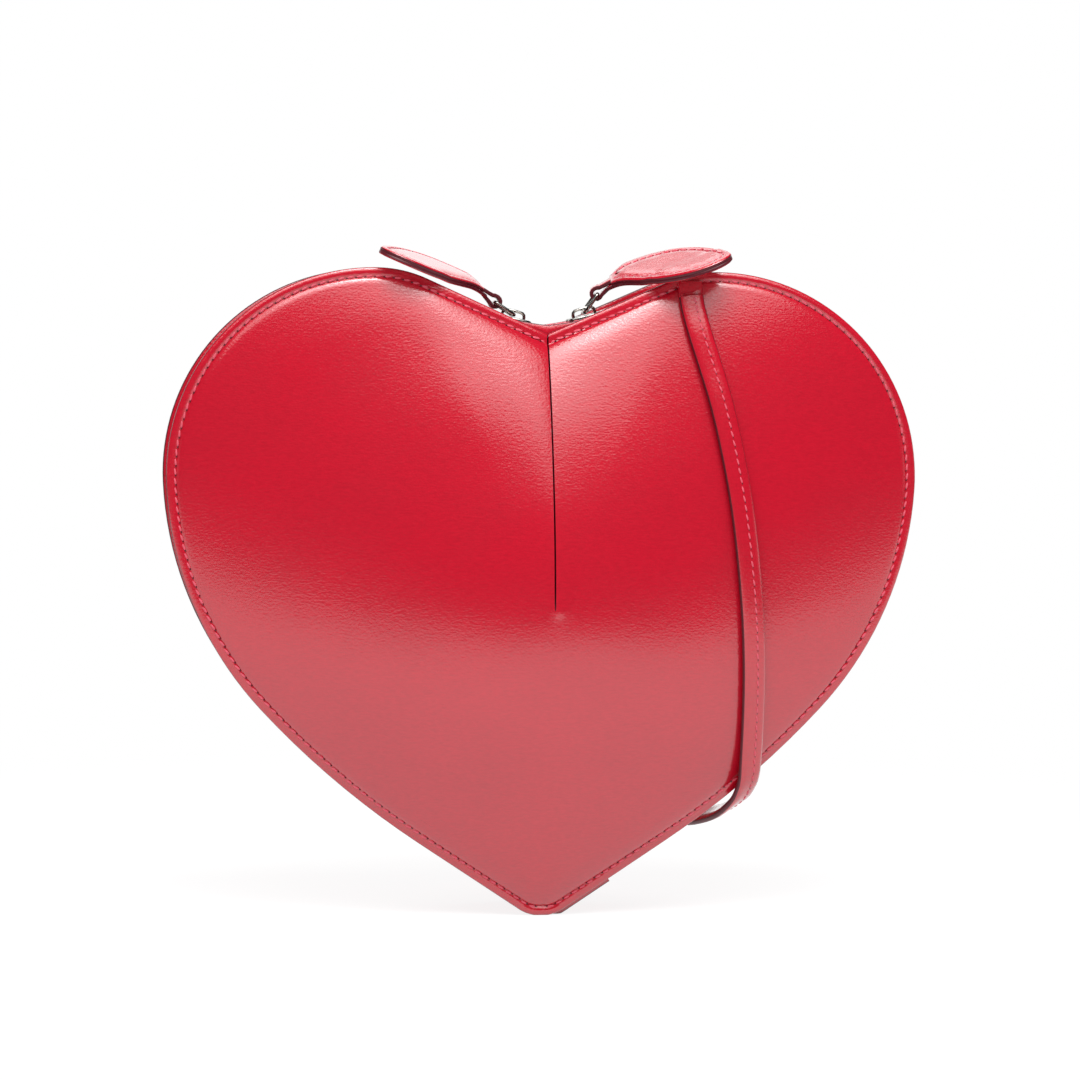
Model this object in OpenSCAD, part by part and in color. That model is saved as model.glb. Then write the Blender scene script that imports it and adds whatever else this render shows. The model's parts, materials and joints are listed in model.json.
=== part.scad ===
// Heart shaped crossbody bag with a two way zip, two leather pulls and a thin strap
// Millimetres, +Z up, front towards -Y, origin under the middle of the pointed tip

/* [Heart outline] */
// Distance of each lobe's top from the middle
lobe_x = 49.5; // [44:0.5:56]
// Radius of the small arc between a lobe's top and the slope to the notch
crown_r = 36; // [28:1:44]
// Radius of the shoulder
shoulder_r = 59.5; // [54:0.5:66]
// Turn of the shoulder in degrees
shoulder_turn = 93; // [90:0.5:96]
// Radius of the side under the shoulder
side_r = 102; // [90:1:120]
// Turn of the side in degrees
side_turn = 40; // [36:0.5:44]
// Radius of the flat lower side
hip_r = 255; // [220:5:300]
// Turn of the lower side in degrees
hip_turn = 13.5; // [12:0.5:15]
// Radius of the tip
tip_r = 12; // [9:0.5:16]
// Depth of the notch under the lobe tops
notch_drop = 18.5; // [15:0.5:22]
// Depth cut off the tip so that it can stand
foot_cut = 0.15; // [0.1:0.05:0.4]

/* [Panels] */
// Thickness of the panel leather
leather_t = 1.3; // [0.8:0.1:1.8]
// Height of each dome over its rim
dome_h = 21; // [12:1:28]
// Height of the dome's middle over the tip
dome_z = 88; // [80:1:96]
// Gap between layers that are not glued
layer_gap = 0.3; // [0.2:0.05:0.5]
// Gap between a panel and its lining
lining_gap = 0.5; // [0.4:0.1:1]
// Thickness of the lining
lining_t = 0.6; // [0.4:0.1:0.9]

/* [Gusset] */
// Distance between the outer faces of the two seam flanges
gusset_w = 26; // [22:1:32]
// Thickness of the gusset leather
gusset_t = 1.2; // [0.8:0.1:1.6]
// Height of the seam flanges over the gusset
seam_h = 4; // [3:0.5:5.5]
// Radius of the gusset's valley at the notch
valley_r = 90; // [70:5:110]
// Steepest slope of the gusset in degrees
valley_turn = 24; // [20:0.5:26]
// Height where the zip ends on each side
zip_end_z = 126; // [115:1:135]
// Reach of the lap at the tip to the right of the middle
lap_x = 17.5; // [12:0.5:24]
// Height of the lap's edge outside the rim
lap_proud = 1.3; // [0.6:0.1:2]

/* [Zip] */
// Distance between teeth along a row
tooth_pitch = 2.6; // [2.2:0.1:3.4]
// Thickness of a tooth
tooth_t = 2.2; // [1.8:0.1:2.6]
// Outer edge of a tooth row from the middle
row_w = 2.9; // [2.4:0.1:3.3]
// Inner edge of a tooth row from the middle
row_gap = 0.45; // [0.35:0.05:0.6]
// Thickness of the tape
tape_t = 0.7; // [0.5:0.1:0.9]
// Outer edge of the tape from the middle
tape_w = 9; // [8:0.5:10.5]
// Free width between the gusset strips and the middle
strip_gap = 5.3; // [5:0.1:6]
// Length of the leather cap on each zip end
stop_l = 12; // [8:1:16]

/* [Sliders] */
// Length of a slider
slider_l = 10.7; // [9.5:0.1:12]
// Width of a slider
slider_w = 8.8; // [8.4:0.1:9.4]
// Thickness of a slider's plates
plate_t = 0.9; // [0.7:0.05:1.1]
// Clear height over and under the teeth inside a slider
plate_gap = 0.5; // [0.4:0.05:0.7]
// Distance of the left slider from the middle
left_x = 8.6; // [7:0.1:12]
// Distance of the right slider from the middle
right_x = 12.9; // [7:0.1:16]
// Diameter of the link's wire
wire_d = 1.1; // [0.9:0.1:1.3]
// Distance between the two bars of a link
link_l = 6.6; // [5.5:0.1:8]
// Clear width inside a link
link_w = 4.4; // [3.8:0.1:5]

/* [Pull tabs] */
// Length of a tab from its link to its end
tab_l = 36; // [30:1:42]
// Width of a tab, which lies between the seam flanges
tab_w = 22.5; // [18:0.5:23]
// Thickness of one of a tab's two leathers
tab_t = 1.1; // [0.8:0.1:1.4]
// Outer radius of the tab's eye round the link
eye_r = 2.2; // [1.9:0.1:2.6]
// Slope of the left link in degrees
left_link_slope = 33; // [28:1:45]
// Slope of the right link in degrees
right_link_slope = 55; // [45:1:60]
// Turn of the right tab towards the front in degrees
right_yaw = 8; // [0:1:9]
// Roll of the right tab towards the front in degrees
right_roll = 4; // [0:1:6]
// Height of the left tab over the rims' crowns
left_gap = 0.5; // [0.3:0.1:1.5]
// Height of the right tab over the front rim's crown
right_gap = 1; // [1:0.1:1.5]

/* [Strap] */
// Width of the strap
strap_w = 7; // [5:0.5:9]
// Thickness of the strap
strap_t = 2.2; // [1.6:0.1:2.6]
// Thickness of the strap's thinned ends
strap_end_t = 1.2; // [0.8:0.1:1.6]
// Distance of the strap's ends from the middle
anchor_x = 41; // [39:0.5:45]
// Width of the keeper that ties the spare strap
keeper_w = 9; // [6:0.5:12]

/* [Hidden] */

// Colours
red = "#C8152D";
dark_red = "#8E0F22";
cloth = "#B01428";
nickel = "#C9C9C4";

// Shared small sizes
overrun = 5;
big = 600;
seam_gap = 0.1;
half_w = gusset_w / 2;
face_y = half_w + leather_t;

// Outline arcs, as centre, radius, first angle and last angle
function dir(a) = [cos(a), sin(a)];
shoulder_a = 90 - shoulder_turn;
side_a = shoulder_a - side_turn;
hip_a = side_a - hip_turn;
shoulder_0 = [lobe_x, -shoulder_r];
side_0 = shoulder_0 + (shoulder_r - side_r) * dir(shoulder_a);
hip_0 = side_0 + (side_r - hip_r) * dir(side_a);
hip_end_0 = hip_0 + hip_r * dir(hip_a);
tip_c = [0, tip_r - foot_cut];
top_z = tip_c[1] - hip_end_0[1] + (tip_r - hip_end_0[0] * cos(hip_a)) / sin(hip_a);
notch_z = top_z - notch_drop;
crown_c = [lobe_x, top_z - crown_r];
shoulder_c = shoulder_0 + [0, top_z];
side_c = side_0 + [0, top_z];
hip_c = hip_0 + [0, top_z];
notch_to_crown = crown_c - [0, notch_z];
notch_slope = asin(crown_r / norm(notch_to_crown)) + atan2(notch_to_crown[1], notch_to_crown[0]);

function arc(c, r, from, to, n) = [for (i = [0:n]) c + r * dir(from + (to - from) * i / n)];
function on_floor(points) = [for (p = points) [p[0], max(p[1], 0)]];
function mirrored(points) = [for (i = [len(points) - 1:-1:0]) [-points[i][0], points[i][1]]];

// Lower half of an inset outline, from the right shoulder's end to the tip
function lower_half(inset) = concat(
    arc(side_c, side_r - inset, shoulder_a - side_turn / 7, side_a, 6),
    arc(hip_c, hip_r - inset, side_a - hip_turn / 3, hip_a, 2),
    arc(tip_c, tip_r - inset, hip_a, -90 + tip_turn, 4));
tip_turn = acos(1 - foot_cut / tip_r);

// Right half of the rim, from the notch to the tip
function rim_half(inset) = concat(
    [[0, notch_z - inset / cos(notch_slope)]],
    arc(crown_c, crown_r - inset, 90 + notch_slope, 90, 4),
    arc(shoulder_c, shoulder_r - inset, 90 - shoulder_turn / 12, shoulder_a, 11),
    lower_half(inset));
function whole(half) = let (left = mirrored(half))
    on_floor(concat(half, [for (p = left) if (p[0] < 0) p]));
function rim(inset) = whole(rim_half(inset));

// Gusset line: a shallow valley at the notch, then the shoulders inside the seams
zip_r = shoulder_r - seam_h;
turn_p = shoulder_c + zip_r * dir(90 + valley_turn);
valley_c = turn_p + valley_r * dir(90 + valley_turn);
valley_start = asin(-valley_c[0] / valley_r);
function gusset_half(inset) = concat(
    [for (p = arc(valley_c, valley_r + inset, valley_start - 90, valley_turn - 90, 8)) if (p[0] >= 0) p],
    arc(shoulder_c, zip_r - inset, 90 + valley_turn, shoulder_a, 16),
    lower_half(seam_h + inset));
function gusset(inset) = let (half = gusset_half(inset))
    whole(concat([[0, half[0][1]]], [for (i = [1:len(half) - 1]) half[i]]));

// Place on the zip's line at a distance from the middle, as x, z and slope
valley_l = valley_r * (valley_turn - valley_start) * PI / 180;
function zip_at(d) = d < valley_l
    ? let (a = valley_start + d / valley_r * 180 / PI) concat(valley_c + valley_r * dir(a - 90), [a])
    : let (a = valley_turn - (d - valley_l) / zip_r * 180 / PI) concat(shoulder_c + zip_r * dir(90 + a), [a]);
zip_half_l = valley_l + zip_r * (valley_turn + 90 - asin((zip_end_z - shoulder_c[1]) / zip_r)) * PI / 180;

// Domed skins: the outline drawn in towards the dome's middle, rounder on the way
dome_c = [0, dome_z];
dome_power = 1.7;
round_power = 1.5;
round_share = [0.86, 0.95];
ring_shares = [1, 0.97, 0.92, 0.84, 0.74, 0.62, 0.48, 0.32, 0.15];
function round_radius(d) = let (u = d / norm(d))
    norm([round_share[0] * (lobe_x + shoulder_r) * u[0], round_share[1] * dome_z * u[1]]);
function drawn_in(p, s) = let (d = p - dome_c, k = pow(s, round_power))
    dome_c + d * s * (k + (1 - k) * round_radius(d) / norm(d));
function dome(s) = dome_h * (1 - pow(s, dome_power));
function ring(points, s, y) = [for (p = points) let (q = drawn_in(p, s)) [q[0], y, q[1]]];

// Closed solid through rings of equal length with a flat end on the first and the last
module skin(rings, flip) {
    n = len(rings[0]);
    m = len(rings);
    points = [for (r = rings) each r];
    side = [for (j = [0:m - 2], i = [0:n - 1]) let (k = (i + 1) % n)
        each [[j * n + i, j * n + k, (j + 1) * n + k], [j * n + i, (j + 1) * n + k, (j + 1) * n + i]]];
    ends = [[for (i = [n - 1:-1:0]) i], [for (i = [0:n - 1]) (m - 1) * n + i]];
    faces = concat(side, ends);
    polyhedron(points, flip ? faces : [for (f = faces) [for (i = [len(f) - 1:-1:0]) f[i]]]);
}

// Dome between two depths under its outer face, front when the sign is -1
module dome_skin(points, sign, outer, inner, shares) {
    last = len(shares) - 1;
    rings = concat(
        [for (i = [last:-1:0]) ring(points, shares[i], sign * (face_y + dome(shares[i]) - outer))],
        [for (i = [0:last]) ring(points, shares[i], sign * (face_y + dome(shares[i]) - inner))]);
    skin(rings, sign > 0);
}

module front_panel() color(red) dome_skin(rim(0), -1, 0, leather_t, ring_shares);
module back_panel() color(red) dome_skin(rim(0), 1, 0, leather_t, ring_shares);

// Linings: a dome that follows the panel, and a wall inside the gusset up to the middle
lining_shares = [0.9, 0.81, 0.68, 0.52, 0.34, 0.15];
lining_out = leather_t + lining_gap;
lining_in = lining_out + lining_t;
module lining(sign) {
    last = len(lining_shares) - 1;
    edge = lining_shares[0];
    wall_edge = edge - lining_t / dome_z;
    points = rim(0);
    rings = concat(
        [for (i = [last:-1:0])
            ring(points, lining_shares[i], sign * (face_y + dome(lining_shares[i]) - lining_out))],
        [ring(points, edge, sign * layer_gap / 2), ring(points, wall_edge, sign * layer_gap / 2)],
        [ring(points, wall_edge, sign * (face_y + dome(edge) - lining_in))],
        [for (i = [1:last])
            ring(points, lining_shares[i], sign * (face_y + dome(lining_shares[i]) - lining_in))]);
    skin(rings, sign > 0);
}
module front_lining() color(cloth) lining(-1);
module back_lining() color(cloth) lining(1);

// Slip pocket: a patch over the lower middle of the back lining
pocket_w = 96;
pocket_top = 132;
pocket_low = 46;
pocket_shares = [0.8, 0.74, 0.62, 0.48, 0.32, 0.15];
module slip_pocket() color(cloth) intersection() {
    dome_skin(rim(0), 1, lining_in + layer_gap, lining_in + layer_gap + lining_t, pocket_shares);
    translate([-pocket_w / 2, 0, pocket_low]) cube([pocket_w, big, pocket_top - pocket_low]);
}

// Extrudes an outline in X and Z between two depths
module plate(y0, y1) translate([0, y1, 0]) rotate([90, 0, 0]) linear_extrude(y1 - y0) children();
module right_half() translate([seam_gap / 2, -big / 2]) square(big);
module above(z) translate([-big / 2, z]) square(big);
module floor_up() translate([-big / 2, 0]) square(big);

// Top strips, front right as drawn: a web beside the zip and a flange on the seam
module strip_right_front() {
    plate(-half_w, -strip_gap) intersection() {
        difference() { polygon(gusset(0)); polygon(gusset(gusset_t)); }
        right_half();
        above(zip_end_z);
    }
    plate(-half_w, -half_w + gusset_t) intersection() {
        difference() { union() { polygon(rim(0)); polygon(gusset(0)); } polygon(gusset(gusset_t)); }
        right_half();
        above(zip_end_z);
    }
}
module strip_front_right() color(red) strip_right_front();
module strip_front_left() color(red) mirror([1, 0, 0]) strip_right_front();
module strip_back_right() color(red) mirror([0, 1, 0]) strip_right_front();
module strip_back_left() color(red) mirror([0, 1, 0]) mirror([1, 0, 0]) strip_right_front();

// Lower bands: full width webs with a flange on both seams, the left one lapped round the tip
lap_start = 2.5;
module below() translate([-big / 2, zip_end_z - seam_gap - big]) square(big);
module right_from(x) translate([x, -big / 2]) square(big);
module flanges() for (s = [0, 1]) mirror([0, s, 0]) plate(-half_w, -half_w + gusset_t) children();
module band_part(inner) {
    plate(-half_w, half_w) intersection() {
        difference() { polygon(gusset(0)); polygon(gusset(gusset_t)); }
        below();
        children();
    }
    flanges() intersection() {
        difference() { polygon(rim(0)); polygon(gusset(gusset_t)); }
        below();
        children();
    }
}
lap_half_w = half_w - gusset_t - seam_gap;
module lap_zone(to_x) translate([-lap_start, 0]) square([to_x + lap_start, seam_h + lap_x]);
module lap_web(half, to_x, from) plate(-half, half) intersection() {
    difference() { polygon(gusset(-gusset_t - seam_gap)); polygon(gusset(from)); }
    lap_zone(to_x);
}
module band_right() color(red) band_part() right_from(lap_start);
module band_left() color(red) {
    band_part() mirror([1, 0]) right_from(-lap_start + seam_gap);
    lap_web(half_w, lap_start - seam_gap, gusset_t / 2);
    lap_web(lap_half_w, lap_x, -seam_gap);
    for (s = [0, 1]) mirror([0, s, 0]) plate(-lap_half_w, -lap_half_w + gusset_t) intersection() {
        difference() { polygon(rim(-lap_proud)); polygon(gusset(-seam_gap)); }
        lap_zone(lap_x);
    }
}

// Zip tape between the tooth row and under the strip, one run over both lobes
module tape(s) mirror([0, s, 0]) {
    plate(-tape_w, -row_w) intersection() {
        difference() { polygon(gusset(gusset_t)); polygon(gusset(gusset_t + tape_t)); }
        above(zip_end_z);
    }
}
module tape_front() color(dark_red) tape(0);
module tape_back() color(dark_red) tape(1);

// Teeth: one block a pitch, seated on the tape's edge
tooth_n = floor((zip_half_l - tooth_pitch) / tooth_pitch);
tooth_l_share = 0.8;
tooth_l = tooth_pitch * tooth_l_share;
row_mid = gusset_t + tape_t / 2;
module on_zip(d) {
    p = zip_at(d);
    translate([p[0], 0, p[1]]) rotate([0, -p[2], 0]) translate([0, 0, -row_mid]) children();
}
module tooth() translate([-tooth_l / 2, -row_w, -tooth_t / 2]) cube([tooth_l, row_w - row_gap, tooth_t]);
module teeth() for (i = [0:tooth_n - 1], s = [0, 1]) mirror([s, 0, 0]) on_zip((i + 0.5) * tooth_pitch) tooth();
module teeth_front() color(nickel) teeth();
module teeth_back() color(nickel) mirror([0, 1, 0]) teeth();

// Leather caps over the zip's ends
cap_w = 2 * half_w - 2 * gusset_t - 2 * layer_gap;
module cap_right() color(red) plate(-cap_w / 2, cap_w / 2) intersection() {
    difference() { polygon(gusset(-gusset_t - layer_gap)); polygon(gusset(-layer_gap)); }
    right_half();
    translate([0, zip_end_z - stop_l / 2]) square([big, stop_l]);
}
module cap_left() mirror([1, 0, 0]) cap_right();

// Sliders, in their own frame: +X towards the closed chain, the plates over and under the teeth
inner_n = tooth_t / 2 + plate_gap;
tail_share = 0.8;
flange_w = 0.85;
flange_gap = 0.35;
neck_t = 0.5;
bridge_l = 7.4;
bridge_w = 1.6;
bridge_t = 0.8;
bridge_hole = 1.5;
post_l = 1.1;
nose_l = 4.5;
module slider_plate() linear_extrude(plate_t) polygon([
    [-slider_l / 2, -slider_w / 2], [nose_l - slider_l / 2, -slider_w / 2],
    [slider_l / 2, -slider_w / 2 * tail_share], [slider_l / 2, slider_w / 2 * tail_share],
    [nose_l - slider_l / 2, slider_w / 2], [-slider_l / 2, slider_w / 2]]);
flange_in = slider_w / 2 - flange_w;
module slider_flange() translate([-slider_l / 2, flange_in, tape_t / 2 + flange_gap])
    cube([nose_l, flange_w, inner_n - tape_t / 2 - flange_gap]);
module slider() {
    for (s = [0, 1]) mirror([0, 0, s]) {
        translate([0, 0, inner_n]) slider_plate();
        for (k = [0, 1]) mirror([0, k, 0]) slider_flange();
    }
    translate([-slider_l / 2 + neck_t, -neck_t / 2, -inner_n]) cube([nose_l / 2, neck_t, 2 * inner_n]);
    for (s = [-1, 1]) translate([s * (bridge_l - post_l) / 2 - post_l / 2, -bridge_w / 2, inner_n + plate_t])
        cube([post_l, bridge_w, bridge_hole + bridge_t]);
    translate([-bridge_l / 2, -bridge_w / 2, inner_n + plate_t + bridge_hole]) cube([bridge_l, bridge_w, bridge_t]);
}
function x_slope(x) = asin((x - valley_c[0]) / valley_r);
module at_slider(x) {
    a = x_slope(x);
    p = valley_c + valley_r * dir(a - 90);
    translate([p[0], 0, p[1]]) rotate([0, -a, 0]) translate([0, 0, -row_mid]) children();
}
module slider_right() color(nickel) at_slider(right_x) slider();
module slider_left() color(nickel) mirror([1, 0, 0]) at_slider(left_x) slider();

// Links: a rectangular wire with one bar in the slider's bridge and one in the tab's eye
bar_n = inner_n + plate_t + bridge_hole / 2;
function bar_at(x) = let (a = x_slope(x), p = valley_c + valley_r * dir(a - 90))
    p + (bar_n - row_mid) * dir(a + 90);
module bar(l) rotate([90, 0, 0]) cylinder(h = l, d = wire_d, center = true, $fn = 24);
module link() {
    bar(link_w + 2 * wire_d);
    translate([link_l, 0, 0]) bar(link_w + 2 * wire_d);
    for (s = [-1, 1]) translate([0, s * (link_w + wire_d) / 2, 0])
        rotate([0, 90, 0]) cylinder(h = link_l, d = wire_d, $fn = 24);
}
module at_link(x, slope) {
    p = bar_at(x);
    translate([p[0], 0, p[1]]) rotate([0, -slope, 0]) children();
}
module link_right() color(nickel) at_link(right_x, right_link_slope) link();
module link_left() color(nickel) rotate([0, 0, 180]) at_link(left_x, left_link_slope) link();

// Pull tabs: a petal of two leathers, the lower one with the eye round the link
eye_gap = 0.25;
eye_w = link_w - 2 * layer_gap;
neck_reach_share = 3;
top_start_share = 1.4;
petal_n = 24;
petal_start_share = 0.07;
petal_powers = [1.35, 0.6];
function petal_w(t) = tab_w / 2 * pow(sin(180 * pow(t, petal_powers[0])), petal_powers[1]);
function petal_side() = [for (i = [0:petal_n])
    let (t = petal_start_share + (1 - petal_start_share) * i / petal_n) [t * tab_l, petal_w(min(t, 1))]];
module petal(from) linear_extrude(tab_t) difference() {
    polygon(concat(petal_side(), [for (i = [petal_n - 1:-1:0]) let (p = petal_side()[i]) [p[0], -p[1]]]));
    translate([-big + from, -big / 2]) square(big);
}
module tab_base(yaw, roll) difference() {
    union() {
        rotate([90, 0, 0]) cylinder(h = eye_w, r = eye_r, center = true, $fn = 36);
        rotate([0, 0, yaw]) rotate([roll, 0, 0]) translate([0, 0, -tab_t]) {
            petal(petal_start_share * tab_l);
            translate([0, -eye_w / 2 + wire_d, 0]) cube([neck_reach_share * eye_r, eye_w - 2 * wire_d, tab_t]);
        }
    }
    rotate([90, 0, 0]) cylinder(h = big, d = wire_d + 2 * eye_gap, center = true, $fn = 36);
}
module tab_top(yaw, roll) rotate([0, 0, yaw]) rotate([roll, 0, 0]) petal(top_start_share * eye_r);
function eye_at(x, link_slope) = bar_at(x) + link_l * dir(link_slope);

// Slope at which a turned and rolled tab passes over the rim's crown
function rest_slope(x, link_slope, yaw, roll, gap) =
    let (e = eye_at(x, link_slope) - crown_c, m = [sin(roll) * sin(yaw), -sin(roll) * cos(yaw), cos(roll)],
        reach = norm([m[0], m[2]]), a = m[0] * e[0] + m[2] * e[1], b = m[0] * e[1] - m[2] * e[0])
    atan2(b, a) - acos((tab_t + gap + crown_r * reach - m[1] * face_y) / norm([a, b]));
left_slope = rest_slope(left_x, left_link_slope, 0, 0, left_gap);
right_slope = rest_slope(right_x, right_link_slope, -right_yaw, right_roll, right_gap);
module at_eye(x, link_slope, slope) {
    p = eye_at(x, link_slope);
    translate([p[0], 0, p[1]]) rotate([0, -slope, 0]) children();
}
module on_left() mirror([1, 0, 0]) at_eye(left_x, left_link_slope, left_slope) children();
module on_right() at_eye(right_x, right_link_slope, right_slope) children();
module tab_left_base() color(red) on_left() tab_base(0, 0);
module tab_left_top() color(red) on_left() tab_top(0, 0);
module tab_right_base() color(red) on_right() tab_base(-right_yaw, right_roll);
module tab_right_top() color(red) on_right() tab_top(-right_yaw, right_roll);
echo(tab_slopes = [left_slope, right_slope]);

// Strap ends: thinned leather sewn flat on the rim's outer face
strap_gap = 0.6;
end_top = 1;
end_l = 5;
rim_at_anchor = crown_c[1] + sqrt(pow(crown_r, 2) - pow(lobe_x - anchor_x + strap_w / 2, 2));
end_tilt = atan(dome_power * dome_h / norm([anchor_x, rim_at_anchor - dome_z]));
end_y = face_y + strap_gap + end_top * tan(end_tilt);
module strap_end() translate([anchor_x - strap_w / 2, -end_y, rim_at_anchor - end_top])
    rotate([-end_tilt, 0, 0]) translate([0, -strap_end_t, -end_l]) cube([strap_w, strap_end_t, end_l]);
module strap_end_front() color(red) strap_end();
module strap_end_back() color(red) mirror([1, 0, 0]) mirror([0, 1, 0]) strap_end();

// Strap's route by hand: place, then the direction that its outer face looks
front_route = [
    [41, -17.8, 179.6, 0, -0.96, 0.28], [41.6, -18.9, 175.6, 0, -0.96, 0.27], [43.2, -20.8, 169, 0, -0.97, 0.25],
    [46.3, -22.9, 158.5, 0.05, -0.97, 0.22], [49.2, -25, 148, 0.1, -0.98, 0.18],
    [52.2, -26.8, 134, 0.16, -0.97, 0.15], [54.8, -28.2, 119, 0.2, -0.97, 0.1],
    [56.8, -28.7, 103, 0.23, -0.97, 0.04], [58.4, -28.1, 87, 0.25, -0.97, -0.05],
    [59.4, -26.1, 71, 0.27, -0.95, -0.15], [59.9, -22.8, 57, 0.29, -0.92, -0.26],
    [60.1, -19.7, 46.5, 0.31, -0.89, -0.34], [60, -17.7, 40.4, 0.4, -0.8, -0.45],
    [59.4, -15.4, 36.8, 0.45, -0.68, -0.58]];
under_route = [
    [59.2, -14.6, 35.8, 0.45, -0.65, -0.6], [58.2, -12, 33.4, 0.5, -0.5, -0.7],
    [55, -5, 29.3, 0.6, -0.15, -0.77], [51.5, 4, 26.6, 0.62, 0.1, -0.78], [47.8, 12.5, 25.3, 0.5, 0.35, -0.75],
    [42.6, 20.4, 27.4, 0.25, 0.4, -0.85], [35.5, 27.6, 31, 0.1, 0.35, -0.92], [26.5, 34, 35, 0, 0.2, -0.98],
    [16.5, 39, 37.6, 0, 0.1, -1]];
rise_route = [
    [-10.5, 47.8, 144, -0.9, 0.4, 0.1], [-15.5, 44.5, 153, -0.7, 0.7, 0.2], [-22.5, 38.5, 162, -0.4, 0.9, 0.2],
    [-30, 30.5, 170.5, -0.2, 0.96, 0.2], [-37, 22.5, 177, 0, 1, 0.2], [-40.3, 18.5, 179, 0, 0.96, 0.28],
    [-41, 17.8, 180, 0, 0.96, 0.28]];

// Spare strap: a hank of three loops, in on one layer and out on the next, drawn in at the waist
hank_place = [6, 40.7, 92];
hank_loops = 3.3;
hank_run = 35;
hank_r = 18.2;
hank_step = 2.8;
hank_layer = 7.6;
hank_waist = 7;
waist_turn = 35;
loop_rings = 24;
hank_turn = 540;
function hank_depth(a) = a < hank_turn - 90 ? 0 : a > hank_turn + 90 ? 1 : (1 - cos(a - hank_turn + 90)) / 2;
function hank_at(a) =
    let (t = -90 - a, r = hank_r - hank_step * (hank_turn - abs(a - hank_turn)) / 360,
        waist = max(0, 1 - pow(sin(t) / sin(waist_turn), 2)), run = hank_run * min(1, max(-1, 3 * sin(t))))
    [hank_place[0] + r * cos(t) - sign(cos(t)) * hank_waist * waist,
        hank_place[1] + hank_layer * hank_depth(a),
        hank_place[2] + r * sin(t) + run, cos(t), 0, sin(t)];
hank_route = [for (i = [0:floor(hank_loops * loop_rings)]) hank_at(i * 360 / loop_rings)];

// Flat strap swept along a route, with chamfered edges
edge_cut = 0.5;
function place(p) = [p[0], p[1], p[2]];
function out_face(p) = [p[3], p[4], p[5]];
function unit(v) = v / norm(v);
function along(route, i) = unit(place(route[min(i + 1, len(route) - 1)]) - place(route[max(i - 1, 0)]));
strap_section = let (w = strap_w / 2, t = strap_t / 2, c = edge_cut)
    [[w, t - c], [w - c, t], [c - w, t], [-w, t - c], [-w, c - t], [c - w, -t], [w - c, -t], [w, c - t]];
function strap_ring(route, i) = let (p = route[i], t = along(route, i), w = unit(cross(t, out_face(p))), n = cross(w, t))
    [for (q = strap_section) place(p) + q[0] * w + q[1] * n];
module strap_along(route) skin([for (i = [0:len(route) - 1]) strap_ring(route, i)], true);
module strap_front() color(red) strap_along(front_route);
module strap_under() color(red) strap_along(concat(under_route, [hank_route[0]]));
module strap_hank() color(red) strap_along(hank_route);
module strap_rise() color(red) strap_along(concat([hank_route[len(hank_route) - 1]], rise_route));
hank_clear = min([for (i = [0:len(hank_route) - loop_rings - 1], j = [i + loop_rings - 2:min(i + loop_rings + 2, len(hank_route) - 1)])
    norm(place(hank_route[i]) - place(hank_route[j]))]) - strap_t;
echo(hank_least_gap = hank_clear);

// Keeper: a leather band round the hank's waist
keeper_t = 1.2;
keeper_gap = 0.4;
hank_out = hank_r + hank_step * (hank_loops - 2 * hank_turn / 360);
keeper_in = [hank_out - hank_waist + strap_t / 2 + keeper_gap, strap_w / 2 + keeper_gap];
module keeper() color(dark_red) translate([hank_place[0], hank_place[1], hank_place[2] - keeper_w / 2]) difference() {
    translate([-keeper_in[0] - keeper_t, -keeper_in[1] - keeper_t, 0])
        cube([2 * (keeper_in[0] + keeper_t), 2 * (keeper_in[1] + keeper_t) + hank_layer, keeper_w]);
    translate([-keeper_in[0], -keeper_in[1], -overrun])
        cube([2 * keeper_in[0], 2 * keeper_in[1] + hank_layer, keeper_w + 2 * overrun]);
}

front_panel();
back_panel();
front_lining();
back_lining();
slip_pocket();
strip_front_left();
strip_front_right();
strip_back_left();
strip_back_right();
band_left();
band_right();
tape_front();
tape_back();
teeth_front();
teeth_back();
cap_left();
cap_right();
slider_left();
slider_right();
link_left();
link_right();
tab_left_base();
tab_left_top();
tab_right_base();
tab_right_top();
strap_end_front();
strap_end_back();
strap_front();
strap_under();
strap_hank();
strap_rise();
keeper();
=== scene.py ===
import bisect
import json
import math

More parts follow.
